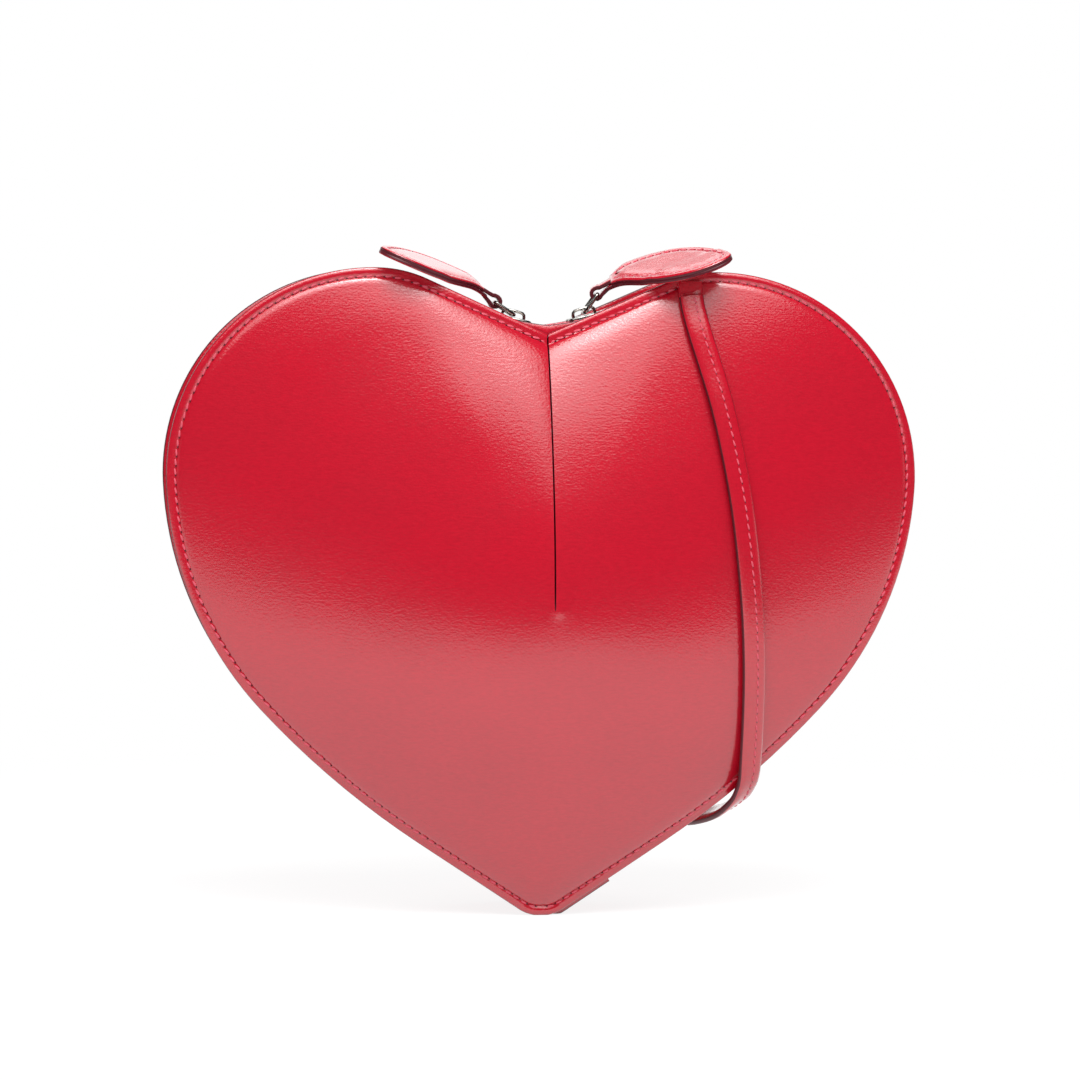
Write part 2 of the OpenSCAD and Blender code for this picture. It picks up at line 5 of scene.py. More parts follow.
import bmesh
import bpy
from bpy.props import FloatProperty, FloatVectorProperty, PointerProperty
from mathutils import Matrix, Vector, noise
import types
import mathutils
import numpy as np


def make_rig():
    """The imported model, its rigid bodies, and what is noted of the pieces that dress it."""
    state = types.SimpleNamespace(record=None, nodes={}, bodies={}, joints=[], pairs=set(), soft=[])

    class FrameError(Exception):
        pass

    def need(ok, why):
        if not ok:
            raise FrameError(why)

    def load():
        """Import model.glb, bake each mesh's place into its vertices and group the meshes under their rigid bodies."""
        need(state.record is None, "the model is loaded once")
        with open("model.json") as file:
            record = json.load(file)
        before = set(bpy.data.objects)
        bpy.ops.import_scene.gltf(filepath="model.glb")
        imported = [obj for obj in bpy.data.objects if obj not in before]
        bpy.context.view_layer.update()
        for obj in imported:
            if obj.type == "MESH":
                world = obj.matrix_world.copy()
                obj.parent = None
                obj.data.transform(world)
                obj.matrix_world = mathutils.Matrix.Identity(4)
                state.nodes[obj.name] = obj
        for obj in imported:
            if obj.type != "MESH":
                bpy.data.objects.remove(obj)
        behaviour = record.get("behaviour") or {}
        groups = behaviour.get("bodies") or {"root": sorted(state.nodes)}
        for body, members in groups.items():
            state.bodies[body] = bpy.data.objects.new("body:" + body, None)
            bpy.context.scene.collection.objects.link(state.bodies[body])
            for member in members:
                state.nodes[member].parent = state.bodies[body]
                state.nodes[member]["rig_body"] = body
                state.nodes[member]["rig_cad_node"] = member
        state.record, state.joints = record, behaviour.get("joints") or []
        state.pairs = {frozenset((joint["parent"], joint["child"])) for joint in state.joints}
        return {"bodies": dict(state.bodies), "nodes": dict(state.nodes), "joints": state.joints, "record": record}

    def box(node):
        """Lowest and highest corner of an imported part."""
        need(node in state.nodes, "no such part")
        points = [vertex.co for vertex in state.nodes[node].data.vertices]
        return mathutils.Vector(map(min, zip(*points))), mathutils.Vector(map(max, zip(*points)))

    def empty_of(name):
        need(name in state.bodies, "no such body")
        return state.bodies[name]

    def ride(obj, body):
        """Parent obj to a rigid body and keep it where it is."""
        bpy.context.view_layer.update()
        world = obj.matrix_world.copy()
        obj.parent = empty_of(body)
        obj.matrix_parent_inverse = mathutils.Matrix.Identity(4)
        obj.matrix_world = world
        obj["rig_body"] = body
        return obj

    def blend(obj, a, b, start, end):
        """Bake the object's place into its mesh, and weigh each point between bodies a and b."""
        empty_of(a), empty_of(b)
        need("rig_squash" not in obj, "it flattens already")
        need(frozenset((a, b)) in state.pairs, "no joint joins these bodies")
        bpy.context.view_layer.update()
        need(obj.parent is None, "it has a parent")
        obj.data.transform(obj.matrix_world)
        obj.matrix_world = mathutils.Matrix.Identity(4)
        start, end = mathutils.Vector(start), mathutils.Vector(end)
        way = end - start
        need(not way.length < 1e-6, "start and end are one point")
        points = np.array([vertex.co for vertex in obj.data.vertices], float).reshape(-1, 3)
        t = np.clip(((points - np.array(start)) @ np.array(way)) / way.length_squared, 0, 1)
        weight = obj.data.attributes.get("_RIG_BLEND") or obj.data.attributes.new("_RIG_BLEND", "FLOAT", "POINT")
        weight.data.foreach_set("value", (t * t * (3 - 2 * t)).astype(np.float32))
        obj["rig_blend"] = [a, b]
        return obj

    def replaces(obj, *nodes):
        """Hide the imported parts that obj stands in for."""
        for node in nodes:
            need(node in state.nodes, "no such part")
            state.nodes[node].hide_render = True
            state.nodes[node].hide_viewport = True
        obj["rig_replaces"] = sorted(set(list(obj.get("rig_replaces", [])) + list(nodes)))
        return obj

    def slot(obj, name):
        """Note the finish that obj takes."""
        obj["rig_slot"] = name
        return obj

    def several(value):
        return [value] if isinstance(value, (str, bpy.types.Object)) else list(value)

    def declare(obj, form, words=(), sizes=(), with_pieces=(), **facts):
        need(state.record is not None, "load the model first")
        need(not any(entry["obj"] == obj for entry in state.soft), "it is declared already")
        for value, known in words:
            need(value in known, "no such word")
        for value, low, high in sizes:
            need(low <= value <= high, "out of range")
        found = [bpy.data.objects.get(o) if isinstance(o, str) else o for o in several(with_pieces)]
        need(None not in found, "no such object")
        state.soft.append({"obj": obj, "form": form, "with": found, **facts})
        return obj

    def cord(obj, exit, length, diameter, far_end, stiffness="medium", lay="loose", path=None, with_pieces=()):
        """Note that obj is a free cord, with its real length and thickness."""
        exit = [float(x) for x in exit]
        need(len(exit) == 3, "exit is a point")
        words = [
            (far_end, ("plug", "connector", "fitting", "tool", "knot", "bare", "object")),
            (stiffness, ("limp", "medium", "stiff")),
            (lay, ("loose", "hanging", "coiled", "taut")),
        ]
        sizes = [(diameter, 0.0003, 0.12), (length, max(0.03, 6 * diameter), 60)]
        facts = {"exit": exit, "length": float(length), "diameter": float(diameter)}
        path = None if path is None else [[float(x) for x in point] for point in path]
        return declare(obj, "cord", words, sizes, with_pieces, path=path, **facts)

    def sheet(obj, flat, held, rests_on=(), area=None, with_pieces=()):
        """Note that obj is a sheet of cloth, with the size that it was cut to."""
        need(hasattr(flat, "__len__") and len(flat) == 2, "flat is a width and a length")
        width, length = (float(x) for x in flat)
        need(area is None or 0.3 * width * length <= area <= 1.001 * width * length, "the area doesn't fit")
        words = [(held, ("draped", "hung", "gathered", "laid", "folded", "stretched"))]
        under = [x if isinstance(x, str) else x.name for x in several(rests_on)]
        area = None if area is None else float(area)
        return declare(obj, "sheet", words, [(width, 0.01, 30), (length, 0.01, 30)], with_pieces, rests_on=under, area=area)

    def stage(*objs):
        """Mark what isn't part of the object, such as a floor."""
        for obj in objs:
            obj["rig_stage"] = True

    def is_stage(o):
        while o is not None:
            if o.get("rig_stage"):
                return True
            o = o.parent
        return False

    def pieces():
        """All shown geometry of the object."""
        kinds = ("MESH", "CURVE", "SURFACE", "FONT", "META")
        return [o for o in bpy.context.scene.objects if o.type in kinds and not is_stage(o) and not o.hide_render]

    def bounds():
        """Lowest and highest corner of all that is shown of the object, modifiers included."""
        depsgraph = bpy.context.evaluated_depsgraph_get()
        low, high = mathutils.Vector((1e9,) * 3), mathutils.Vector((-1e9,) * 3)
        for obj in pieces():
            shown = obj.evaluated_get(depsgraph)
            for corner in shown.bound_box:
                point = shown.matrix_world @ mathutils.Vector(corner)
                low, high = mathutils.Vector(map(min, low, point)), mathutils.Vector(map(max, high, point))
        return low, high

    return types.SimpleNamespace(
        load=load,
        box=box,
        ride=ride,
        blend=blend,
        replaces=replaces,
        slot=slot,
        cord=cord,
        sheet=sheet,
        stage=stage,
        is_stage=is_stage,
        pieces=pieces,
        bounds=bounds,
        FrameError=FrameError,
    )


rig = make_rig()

bl_info = {
    "name": "Heart bag",
    "version": (1, 0, 0),
    "blender": (4, 5, 0),
    "location": "View3D > Sidebar > Heart bag",
    "description": "Dresses the solids of a heart shaped bag in leather, metal and cloth",
    "category": "Object",
}

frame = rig.load()
CAD_BOX = [list(corner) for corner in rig.bounds()]

# Everything is drawn in millimetres and brought to metres when a piece is finished
MM = 0.001

# Heart outline, as in the part's source
LOBE_X, CROWN_R, SHOULDER_R, SIDE_R, HIP_R, TIP_R = 49.5, 36, 59.5, 102, 255, 12
SHOULDER_A, SIDE_A, HIP_A = -3, -43, -56.5
NOTCH_DROP, FOOT_CUT = 18.5, 0.15
LEATHER_T, DOME_H, DOME_Z = 1.3, 21, 88
HALF_W, GUSSET_T, SEAM_H = 13, 1.2, 4
VALLEY_R, VALLEY_TURN, ZIP_END_Z = 90, 24, 126
STRIP_GAP, TAPE_T, TAPE_W, ROW_W, TOOTH_PITCH, TOOTH_T, PLATE_GAP = 5.3, 0.7, 9, 2.9, 2.6, 2.2, 0.5
DOME_POWER, ROUND_POWER, ROUND_SHARE = 1.7, 1.5, (0.86, 0.95)
FACE_Y = HALF_W + LEATHER_T
LAP_START, LAP_X, LAP_PROUD, SEAM_GAP = 2.5, 17.5, 1.3, 0.1


def smooth(t):
    """Ease from 0 to 1."""
    t = min(max(t, 0), 1)
    return t * t * (3 - 2 * t)


def polar(degrees):
    return Vector((math.cos(math.radians(degrees)), math.sin(math.radians(degrees))))


def arc(centre, radius, first, last, count):
    """Points on an arc after its first one."""
    return [centre + radius * polar(first + (last - first) * i / count) for i in range(1, count + 1)]


def straight(a, b, count):
    return [a.lerp(b, i / count) for i in range(1, count + 1)]


def heart_centres():
    """Centres of the outline's arcs, from the floor up."""
    shoulder = Vector((LOBE_X, -SHOULDER_R))
    side = shoulder + (SHOULDER_R - SIDE_R) * polar(SHOULDER_A)
    hip = side + (SIDE_R - HIP_R) * polar(SIDE_A)
    end = hip + HIP_R * polar(HIP_A)
    tip = Vector((0, TIP_R - FOOT_CUT))
    turn = math.radians(HIP_A)
    top = tip.y - end.y + (TIP_R - end.x * math.cos(turn)) / math.sin(turn)
    up = Vector((0, top))
    return top, shoulder + up, side + up, hip + up, tip


TOP_Z, SHOULDER_C, SIDE_C, HIP_C, TIP_C = heart_centres()
NOTCH = Vector((0, TOP_Z - NOTCH_DROP))
CROWN_C = Vector((LOBE_X, TOP_Z - CROWN_R))
NOTCH_SLOPE = math.degrees(
    math.asin(CROWN_R / (CROWN_C - NOTCH).length)
    + math.atan2(CROWN_C.y - NOTCH.y, CROWN_C.x - NOTCH.x)
)
TIP_TURN = math.degrees(math.acos(1 - FOOT_CUT / TIP_R))
ZIP_R = SHOULDER_R - SEAM_H
VALLEY_C = SHOULDER_C + (ZIP_R + VALLEY_R) * polar(90 + VALLEY_TURN)
VALLEY_START = math.degrees(math.asin(-VALLEY_C.x / VALLEY_R))


def lower_half(inset):
    """Outline from the shoulder's end to the tip."""
    return (
        arc(SIDE_C, SIDE_R - inset, SHOULDER_A, SIDE_A, 18)
        + arc(HIP_C, HIP_R - inset, SIDE_A, HIP_A, 9)
        + arc(TIP_C, TIP_R - inset, HIP_A, TIP_TURN - 90, 10)
    )


def rim_half(inset):
    """Right half of the rim from the notch to the tip."""
    notch = NOTCH - Vector((0, inset / math.cos(math.radians(NOTCH_SLOPE))))
    crown = CROWN_C + (CROWN_R - inset) * polar(90 + NOTCH_SLOPE)
    return (
        [notch]
        + straight(notch, crown, 14)
        + arc(CROWN_C, CROWN_R - inset, 90 + NOTCH_SLOPE, 90, 10)
        + arc(SHOULDER_C, SHOULDER_R - inset, 90, SHOULDER_A, 36)
        + lower_half(inset)
    )


def on_floor(p):
    return Vector((p.x, max(p.y, 0)))


def whole(half):
    """Both halves of an outline that starts at x = 0, as a closed loop."""
    left = [Vector((-p.x, p.y)) for p in reversed(half[1:])]
    return [on_floor(p) for p in half + left]


RIM = whole(rim_half(0))
DOME_C = Vector((0, DOME_Z))
RIM_RAYS = sorted(((math.atan2(p.x, p.y - DOME_Z), p - DOME_C) for p in RIM), key=lambda ray: ray[0])
RIM_ANGLES = [ray[0] for ray in RIM_RAYS]


def rim_radius(direction):
    """Distance from the dome's middle to the rim."""
    i = bisect.bisect(RIM_ANGLES, math.atan2(direction.x, direction.y)) - 1
    a, b = RIM_RAYS[i][1], RIM_RAYS[(i + 1) % len(RIM_RAYS)][1]
    return abs(a.cross(b) / direction.cross(b - a))


def round_radius(direction):
    return Vector(
        (ROUND_SHARE[0] * (LOBE_X + SHOULDER_R) * direction.x, ROUND_SHARE[1] * DOME_Z * direction.y)
    ).length


def drawn_in(p, share):
    """A rim point drawn in towards the dome's middle, rounder on the way."""
    ray = p - DOME_C
    k = share**ROUND_POWER
    return DOME_C + ray * share * (k + (1 - k) * round_radius(ray.normalized()) / ray.length)


def share_at(x, z):
    """How far out a place is: 0 in the dome's middle and 1 on the rim."""
    ray = Vector((x, z - DOME_Z))
    if ray.length < 1e-6:
        return 0
    u = ray.normalized()
    full, rounded = rim_radius(u), round_radius(u)
    share = ray.length / full
    for _ in range(7):
        value = rounded * share + (full - rounded) * share ** (1 + ROUND_POWER) - ray.length
        share -= value / (rounded + (1 + ROUND_POWER) * (full - rounded) * share**ROUND_POWER)
    return min(max(share, 0), 1)


SOFT_TOP, BEND_SHARE, FOOT_SHARE, FOOT_PUFF, FOOT_STEP = 0.02, 0.9, 0.972, 0.65, 0.012


def dome(share, x=0):
    """Height of the dome, which rises from a crease at the stitches, puffed up beside the lobes."""
    puff = FOOT_PUFF * smooth((abs(x) - 8) / 30)
    if share > FOOT_SHARE:
        return puff * (1 - smooth((share - FOOT_SHARE) / FOOT_STEP))
    if share > BEND_SHARE:
        reach = FOOT_SHARE - BEND_SHARE
        t = (share - BEND_SHARE) / reach
        start, slope = dome(BEND_SHARE), -DOME_H * DOME_POWER * BEND_SHARE ** (DOME_POWER - 1) * reach
        end_slope = -1.1 * (start - puff)
        rise = (start - puff) * (1 - 3 * t**2 + 2 * t**3)
        return puff + rise + slope * (t - 2 * t**2 + t**3) + end_slope * (t**3 - t**2)
    soft = ((share * share + SOFT_TOP) ** (DOME_POWER / 2) - SOFT_TOP ** (DOME_POWER / 2)) / (
        (1 + SOFT_TOP) ** (DOME_POWER / 2) - SOFT_TOP ** (DOME_POWER / 2)
    )
    return DOME_H * (1 - soft)


# The dart that draws the leather in between the lobes
DART_END, DART_W, SLIT_HALF, SLIT_DEPTH = 91.5, 4.5, 0.24, 1.2


def dart(x, z, depth):
    fade = smooth((z - DART_END) / 45)
    crease = depth * fade * math.exp(-abs(x) / DART_W)
    slit = SLIT_DEPTH * smooth((z - DART_END) / 1.5) if abs(x) < SLIT_HALF / 2 else 0
    pucker = 0.3 * math.exp(-((x - 1.1) ** 2 + (z - DART_END + 1.5) ** 2) / 4)
    return crease + slit - pucker


def face(x, z, side, under, dart_depth):
    """A point of a panel's face, or under it; side -1 is the front."""
    share = share_at(x, z)
    wave = 0.35 * noise.noise(Vector((x / 38, z / 31, side * 7))) * (1 - share**4)
    y = FACE_Y + dome(share, x) + wave - dart(x, z, dart_depth) - under
    return Vector((x, side * y, z))


def face_normal(x, z, side):
    step = 0.4
    across = face(x + step, z, side, 0, 0) - face(x - step, z, side, 0, 0)
    up = face(x, z + step, side, 0, 0) - face(x, z - step, side, 0, 0)
    normal = across.cross(up).normalized()
    return normal if normal.y * side > 0 else -normal


# Shapes


def loft(bm, rings, marks=None):
    """Draw a closed loop of points through a row of places, and close both ends."""
    order = bm.verts.layers.int.get("order") or bm.verts.layers.int.new("order")
    count = len(rings[0])
    verts = [bm.verts.new(p) for p in rings[0]]
    for i, v in enumerate(verts):
        v[order] = i
    edges = [bm.edges.new((verts[i], verts[(i + 1) % count])) for i in range(count)]
    ends = [edges]
    for ring in rings[1:]:
        drawn = bmesh.ops.extrude_edge_only(bm, edges=edges)["geom"]
        edges = [g for g in drawn if isinstance(g, bmesh.types.BMEdge) and g.is_boundary]
        for g in drawn:
            if isinstance(g, bmesh.types.BMVert):
                g.co = ring[g[order]]
            elif isinstance(g, bmesh.types.BMFace) and marks:
                corners = {v[order] for v in g.verts}
                wraps = corners == {0, count - 1} and count > 2
                g.material_index = marks[count - 1 if wraps else min(corners)]
    ends.append(edges)
    for edges in ends:
        bmesh.ops.contextual_create(bm, geom=edges)


def block(bm, low, high, place=Matrix.Identity(4)):
    """A box between two corners, in the frame of a place."""
    middle = (Vector(low) + Vector(high)) / 2
    size = Vector(high) - Vector(low)
    matrix = place @ Matrix.Translation(middle) @ Matrix.Diagonal((*size, 1))
    return bmesh.ops.create_cube(bm, size=1, matrix=matrix)["verts"]


def round_edges(bm, width, segments=2, angle=35, verts=None):
    """Round off the edges that turn by more than an angle."""
    own = set(verts) if verts else None
    sharp = [
        e
        for e in bm.edges
        if len(e.link_faces) == 2
        and (own is None or (e.verts[0] in own and e.verts[1] in own))
        and e.calc_face_angle(0) > math.radians(angle)
    ]
    bmesh.ops.bevel(
        bm, geom=sharp, offset=width, segments=segments, profile=0.5,
        affect="EDGES", clamp_overlap=True, material=-1,
    )


def finish_piece(name, bm, materials, body, slot, sharp=40):
    """Bring a shape to metres and make it a piece that rides on a body."""
    order = bm.verts.layers.int.get("order")
    if order:
        bm.verts.layers.int.remove(order)
    bmesh.ops.recalc_face_normals(bm, faces=bm.faces)
    bmesh.ops.scale(bm, vec=(MM, MM, MM), verts=bm.verts)
    mesh = bpy.data.meshes.new(name)
    bm.to_mesh(mesh)
    bm.free()
    mesh.shade_smooth()
    mesh.set_sharp_from_angle(angle=math.radians(sharp))
    for material in materials:
        mesh.materials.append(material)
    piece = bpy.data.objects.new(name, mesh)
    bpy.context.scene.collection.objects.link(piece)
    if body:
        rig.ride(piece, body)
    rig.slot(piece, slot)
    return piece


# The mouth opens at the notch and stays shut beyond the sliders' way
OPEN_START, OPEN_END = (0.0441, 0, 0.1555), (0, 0, 0.171)


def open_with_mouth(piece, weld=True):
    """Let a piece of the front bend between the back half and the front half."""
    name, materials = piece.name, list(piece.data.materials)
    slot = piece["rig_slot"]
    halves = []
    for side in (-1, 1):
        bm = bmesh.new()
        bm.from_mesh(piece.data)
        if weld:
            bmesh.ops.bisect_plane(
                bm, geom=bm.verts[:] + bm.edges[:] + bm.faces[:], dist=1e-7,
                plane_co=(0, 0, 0), plane_no=(side, 0, 0), clear_inner=True,
            )
        else:
            away = [f for f in bm.faces if sum(v.co.x for v in f.verts) * side < 0]
            bmesh.ops.delete(bm, geom=away, context="FACES")
        mesh = bpy.data.meshes.new(name)
        bm.to_mesh(mesh)
        bm.free()
        for material in materials:
            mesh.materials.append(material)
        half = bpy.data.objects.new(name + "_half", mesh)
        bpy.context.scene.collection.objects.link(half)
        start = (side * OPEN_START[0], OPEN_START[1], OPEN_START[2])
        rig.blend(half, "back_half", "front_half", start=start, end=OPEN_END)
        halves.append(half)
    old = piece.data
    bpy.data.objects.remove(piece)
    bpy.data.meshes.remove(old)
    with bpy.context.temp_override(
        active_object=halves[0], object=halves[0],
        selected_objects=halves, selected_editable_objects=halves,
    ):
        bpy.ops.object.join()
    joined = halves[0]
    joined.name = name
    joined.data.name = name
    if weld:
        bm = bmesh.new()
        bm.from_mesh(joined.data)
        seam = [v for v in bm.verts if abs(v.co.x) < 1e-6]
        bmesh.ops.remove_doubles(bm, verts=seam, dist=2e-6)
        bm.to_mesh(joined.data)
        bm.free()
    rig.slot(joined, slot)
    return joined


def spaced(points, pitch, closed=False):
    """Places at even distances along a line, each with its direction."""
    points = [Vector(p) for p in points]
    if closed:
        points.append(points[0])
    reach = [0]
    for a, b in zip(points, points[1:]):
        reach.append(reach[-1] + (b - a).length)
    count = max(round(reach[-1] / pitch), 1)
    for k in range(count):
        at = (k + 0.5) * reach[-1] / count
        i = min(bisect.bisect(reach, at) - 1, len(points) - 2)
        t = (at - reach[i]) / (reach[i + 1] - reach[i])
        yield points[i].lerp(points[i + 1], t), (points[i + 1] - points[i]).normalized()


def stitch(at, along, normal, length, width, slant=12):
    """The place, turn and size of one stitch, slanted a little across its line."""
    side = normal.cross(along).normalized()
    turn = math.radians(slant)
    along, side = (
        along * math.cos(turn) + side * math.sin(turn),
        side * math.cos(turn) - along * math.sin(turn),
    )
    matrix = Matrix.Identity(4)
    for column, (vector, size) in enumerate(((side, width), (normal, width * 0.8), (along, length))):
        for row in range(3):
            matrix[row][column] = vector[row] * size / 2
    for row in range(3):
        matrix[row][3] = at[row]
    return matrix


def mark_edges(bm, height):
    """Paint the steep faces of a cut edge, up to a height."""
    for f in bm.faces:
        f.material_index = 1 if abs(f.normal.z) < 0.75 and abs(f.calc_center_median().z) < height else 0


def sew(name, stitches, body, slot="red_leather", settled=None):
    """Lay a row of short threads, each sunk at both ends beside a dark mark of painted shade for its hole, as one
    piece.
    """
    bm = bmesh.new()
    bmesh.ops.create_uvsphere(bm, u_segments=6, v_segments=5, radius=1)
    short = bpy.data.meshes.new("thread")
    bm.to_mesh(short)
    bm.clear()
    bm.free()
    bm = bmesh.new()
    # Each thread goes down at both ends, and a dark slanted mark in the edge paint at its end is painted shade for the
    # hole
    painted_hole_shade = Matrix.Translation((0, -0.25, 1)) @ Matrix.Rotation(math.radians(24), 4, "Y") @ Matrix.Diagonal((0.7, 0.8, 0.3, 1))
    for part, (shape, count) in enumerate(((Matrix.Identity(4), 1), (painted_hole_shade, 1))):
        for matrix in stitches:
            thread = short.copy()
            thread.transform(matrix @ shape)
            thread.polygons.foreach_set("material_index", [part] * len(thread.polygons))
            bm.from_mesh(thread)
            bpy.data.meshes.remove(thread)
    bpy.data.meshes.remove(short)
    if settled:
        settled(bm.verts)
    return finish_piece(name, bm, [MATERIALS["thread"], MATERIALS["edge"]], body, slot)


# Materials


def linear(colour):
    """Scene colour of an sRGB hex value."""
    parts = [int(colour[i : i + 2], 16) / 255 for i in (1, 3, 5)]
    return (*(c / 12.92 if c <= 0.04045 else ((c + 0.055) / 1.055) ** 2.4 for c in parts), 1)


def add(tree, kind, inputs=None, **settings):
    """Add a node with its settings, its values and its links."""
    node = tree.nodes.new(kind)
    for name, value in settings.items():
        setattr(node, name, value)
    for name, value in (inputs or {}).items():
        if isinstance(value, bpy.types.NodeSocket):
            tree.links.new(value, node.inputs[name])
        else:
            node.inputs[name].default_value = value
    return node


def new_material(name):
    material = bpy.data.materials.new(name)
    material.use_nodes = True
    material.node_tree.nodes.clear()
    return material, material.node_tree


def object_place(tree, scale):
    """Object coordinates with a pattern size in millimetres on each axis."""
    place = add(tree, "ShaderNodeTexCoord")
    mapping = add(tree, "ShaderNodeMapping", {"Vector": place.outputs["Object"]})
    mapping.inputs["Scale"].default_value = tuple(1000 / s for s in scale)
    return mapping.outputs["Vector"]


def box_calf(name, colour, shade, roughness=0.2, bump=0.17, grain=(1.9, 1.9, 0.45)):
    """Smooth aniline calf, plated and lightly waxed: a faint level grain and a soft, broad shine."""
    material, tree = new_material(name)
    level = add(tree, "ShaderNodeTexNoise", {
        "Vector": object_place(tree, grain), "Scale": 1.0, "Detail": 3.0, "Roughness": 0.6})
    pores = add(tree, "ShaderNodeTexVoronoi", {
        "Vector": object_place(tree, (0.75, 0.75, 0.55)), "Scale": 1.0}, feature="SMOOTH_F1")
    cloudy = add(tree, "ShaderNodeTexNoise", {
        "Vector": object_place(tree, (28, 28, 22)), "Scale": 1.0, "Detail": 2.0})
    tone = add(tree, "ShaderNodeMapRange", {
        "Value": level.outputs["Fac"], "From Min": 0.35, "From Max": 0.7, "To Min": 0.0, "To Max": 0.35})
    drift = add(tree, "ShaderNodeMath", {0: cloudy.outputs["Fac"], 1: 0.35}, operation="MULTIPLY")
    amount = add(tree, "ShaderNodeMath", {0: tone.outputs["Result"], 1: drift.outputs["Value"]}, operation="ADD")
    mixed = add(tree, "ShaderNodeMix", {0: amount.outputs["Value"]}, data_type="RGBA")
    mixed.inputs[6].default_value = linear(colour)
    mixed.inputs[7].default_value = linear(shade)
    dull = add(tree, "ShaderNodeMapRange", {
        "Value": cloudy.outputs["Fac"], "To Min": roughness - 0.03, "To Max": roughness + 0.05})
    height = add(tree, "ShaderNodeMath", {0: level.outputs["Fac"], 1: pores.outputs["Distance"]}, operation="ADD")
    grainy = add(tree, "ShaderNodeBump", {
        "Height": height.outputs["Value"], "Strength": bump, "Distance": 0.00018})
    shader = add(tree, "ShaderNodeBsdfPrincipled", {
        "Base Color": mixed.outputs[2], "Roughness": dull.outputs["Result"], "Normal": grainy.outputs["Normal"],
        "IOR": 1.65, "Coat Weight": 1.0, "Coat Roughness": 0.13, "Coat Normal": grainy.outputs["Normal"]})
    add(tree, "ShaderNodeOutputMaterial", {"Surface": shader.outputs["BSDF"]})
    return material


def edge_paint(name, colour):
    """Painted and burnished leather edge: a dark, even, slightly uneven lacquer."""
    material, tree = new_material(name)
    uneven = add(tree, "ShaderNodeTexNoise", {
        "Vector": object_place(tree, (2.5, 2.5, 2.5)), "Scale": 1.0, "Detail": 2.0})
    ripple = add(tree, "ShaderNodeBump", {
        "Height": uneven.outputs["Fac"], "Strength": 0.25, "Distance": 0.0002})
    dull = add(tree, "ShaderNodeMapRange", {"Value": uneven.outputs["Fac"], "To Min": 0.3, "To Max": 0.45})
    shader = add(tree, "ShaderNodeBsdfPrincipled", {
        "Base Color": linear(colour), "Roughness": dull.outputs["Result"], "Normal": ripple.outputs["Normal"]})
    add(tree, "ShaderNodeOutputMaterial", {"Surface": shader.outputs["BSDF"]})
    return material


def waxed_thread(name, colour):
    """Waxed polyester thread: a twist too fine to see, drawn at half a millimetre, and a soft shine."""
    material, tree = new_material(name)
    twist = add(tree, "ShaderNodeTexWave", {
        "Vector": object_place(tree, (1.6, 1.6, 1.6)), "Scale": 1.0, "Distortion": 2.0}, bands_direction="DIAGONAL")
    ply = add(tree, "ShaderNodeBump", {
        "Height": twist.outputs["Fac"], "Strength": 0.4, "Distance": 0.0001})
    shader = add(tree, "ShaderNodeBsdfPrincipled", {
        "Base Color": linear(colour), "Roughness": 0.5, "Normal": ply.outputs["Normal"], "Sheen Weight": 0.2})
    add(tree, "ShaderNodeOutputMaterial", {"Surface": shader.outputs["BSDF"]})
    return material


def polished_nickel(name, colour, roughness=0.13):
    """Nickel plated zinc, tumbled smooth: bright and a little warm, with fine handling marks."""
    material, tree = new_material(name)
    marks = add(tree, "ShaderNodeTexNoise", {
        "Vector": object_place(tree, (0.6, 3.0, 0.6)), "Scale": 1.0, "Detail": 4.0})
    dull = add(tree, "ShaderNodeMapRange", {
        "Value": marks.outputs["Fac"], "To Min": roughness - 0.05, "To Max": roughness + 0.1})
    scratch = add(tree, "ShaderNodeBump", {
        "Height": marks.outputs["Fac"], "Strength": 0.06, "Distance": 0.0001})
    shader = add(tree, "ShaderNodeBsdfPrincipled", {
        "Base Color": linear(colour), "Metallic": 1.0, "Roughness": dull.outputs["Result"],
        "Normal": scratch.outputs["Normal"]})
    add(tree, "ShaderNodeOutputMaterial", {"Surface": shader.outputs["BSDF"]})
    return material


def woven(name, colour, shade, thread, roughness=0.85):
    """Plain weave: over and under threads at a real spacing in millimetres."""
    material, tree = new_material(name)
    place = object_place(tree, (thread * 2, thread * 2, thread * 2))
    warp = add(tree, "ShaderNodeTexWave", {"Vector": place, "Scale": 0.5}, bands_direction="X")
    weft = add(tree, "ShaderNodeTexWave", {"Vector": place, "Scale": 0.5}, bands_direction="Z")
    weave = add(tree, "ShaderNodeMath", {0: warp.outputs["Fac"], 1: weft.outputs["Fac"]}, operation="MULTIPLY")
    mixed = add(tree, "ShaderNodeMix", {0: weave.outputs["Value"]}, data_type="RGBA")
    mixed.inputs[6].default_value = linear(shade)
    mixed.inputs[7].default_value = linear(colour)
    ribs = add(tree, "ShaderNodeBump", {
        "Height": weave.outputs["Value"], "Strength": 0.5, "Distance": 0.0002})
    shader = add(tree, "ShaderNodeBsdfPrincipled", {
        "Base Color": mixed.outputs[2], "Roughness": roughness, "Normal": ribs.outputs["Normal"],
        "Sheen Weight": 0.3})
    add(tree, "ShaderNodeOutputMaterial", {"Surface": shader.outputs["BSDF"]})
    return material


MATERIALS = {}


def make_materials(sizes):
    MATERIALS["leather"] = box_calf("red_box_calf", sizes.leather, sizes.leather_shade)
    MATERIALS["edge"] = edge_paint("burgundy_edge_paint", sizes.edge)
    MATERIALS["thread"] = waxed_thread("red_waxed_thread", sizes.thread)
    MATERIALS["nickel"] = polished_nickel("polished_nickel", sizes.nickel)
    MATERIALS["lining"] = woven("red_cotton_lining", sizes.lining, sizes.lining_shade, 0.6)
    MATERIALS["tape"] = woven("red_polyester_zip_tape", sizes.tape, sizes.tape_shade, 0.5, 0.75)


def leather_set():
    return [MATERIALS["leather"], MATERIALS["edge"]]


# Settings


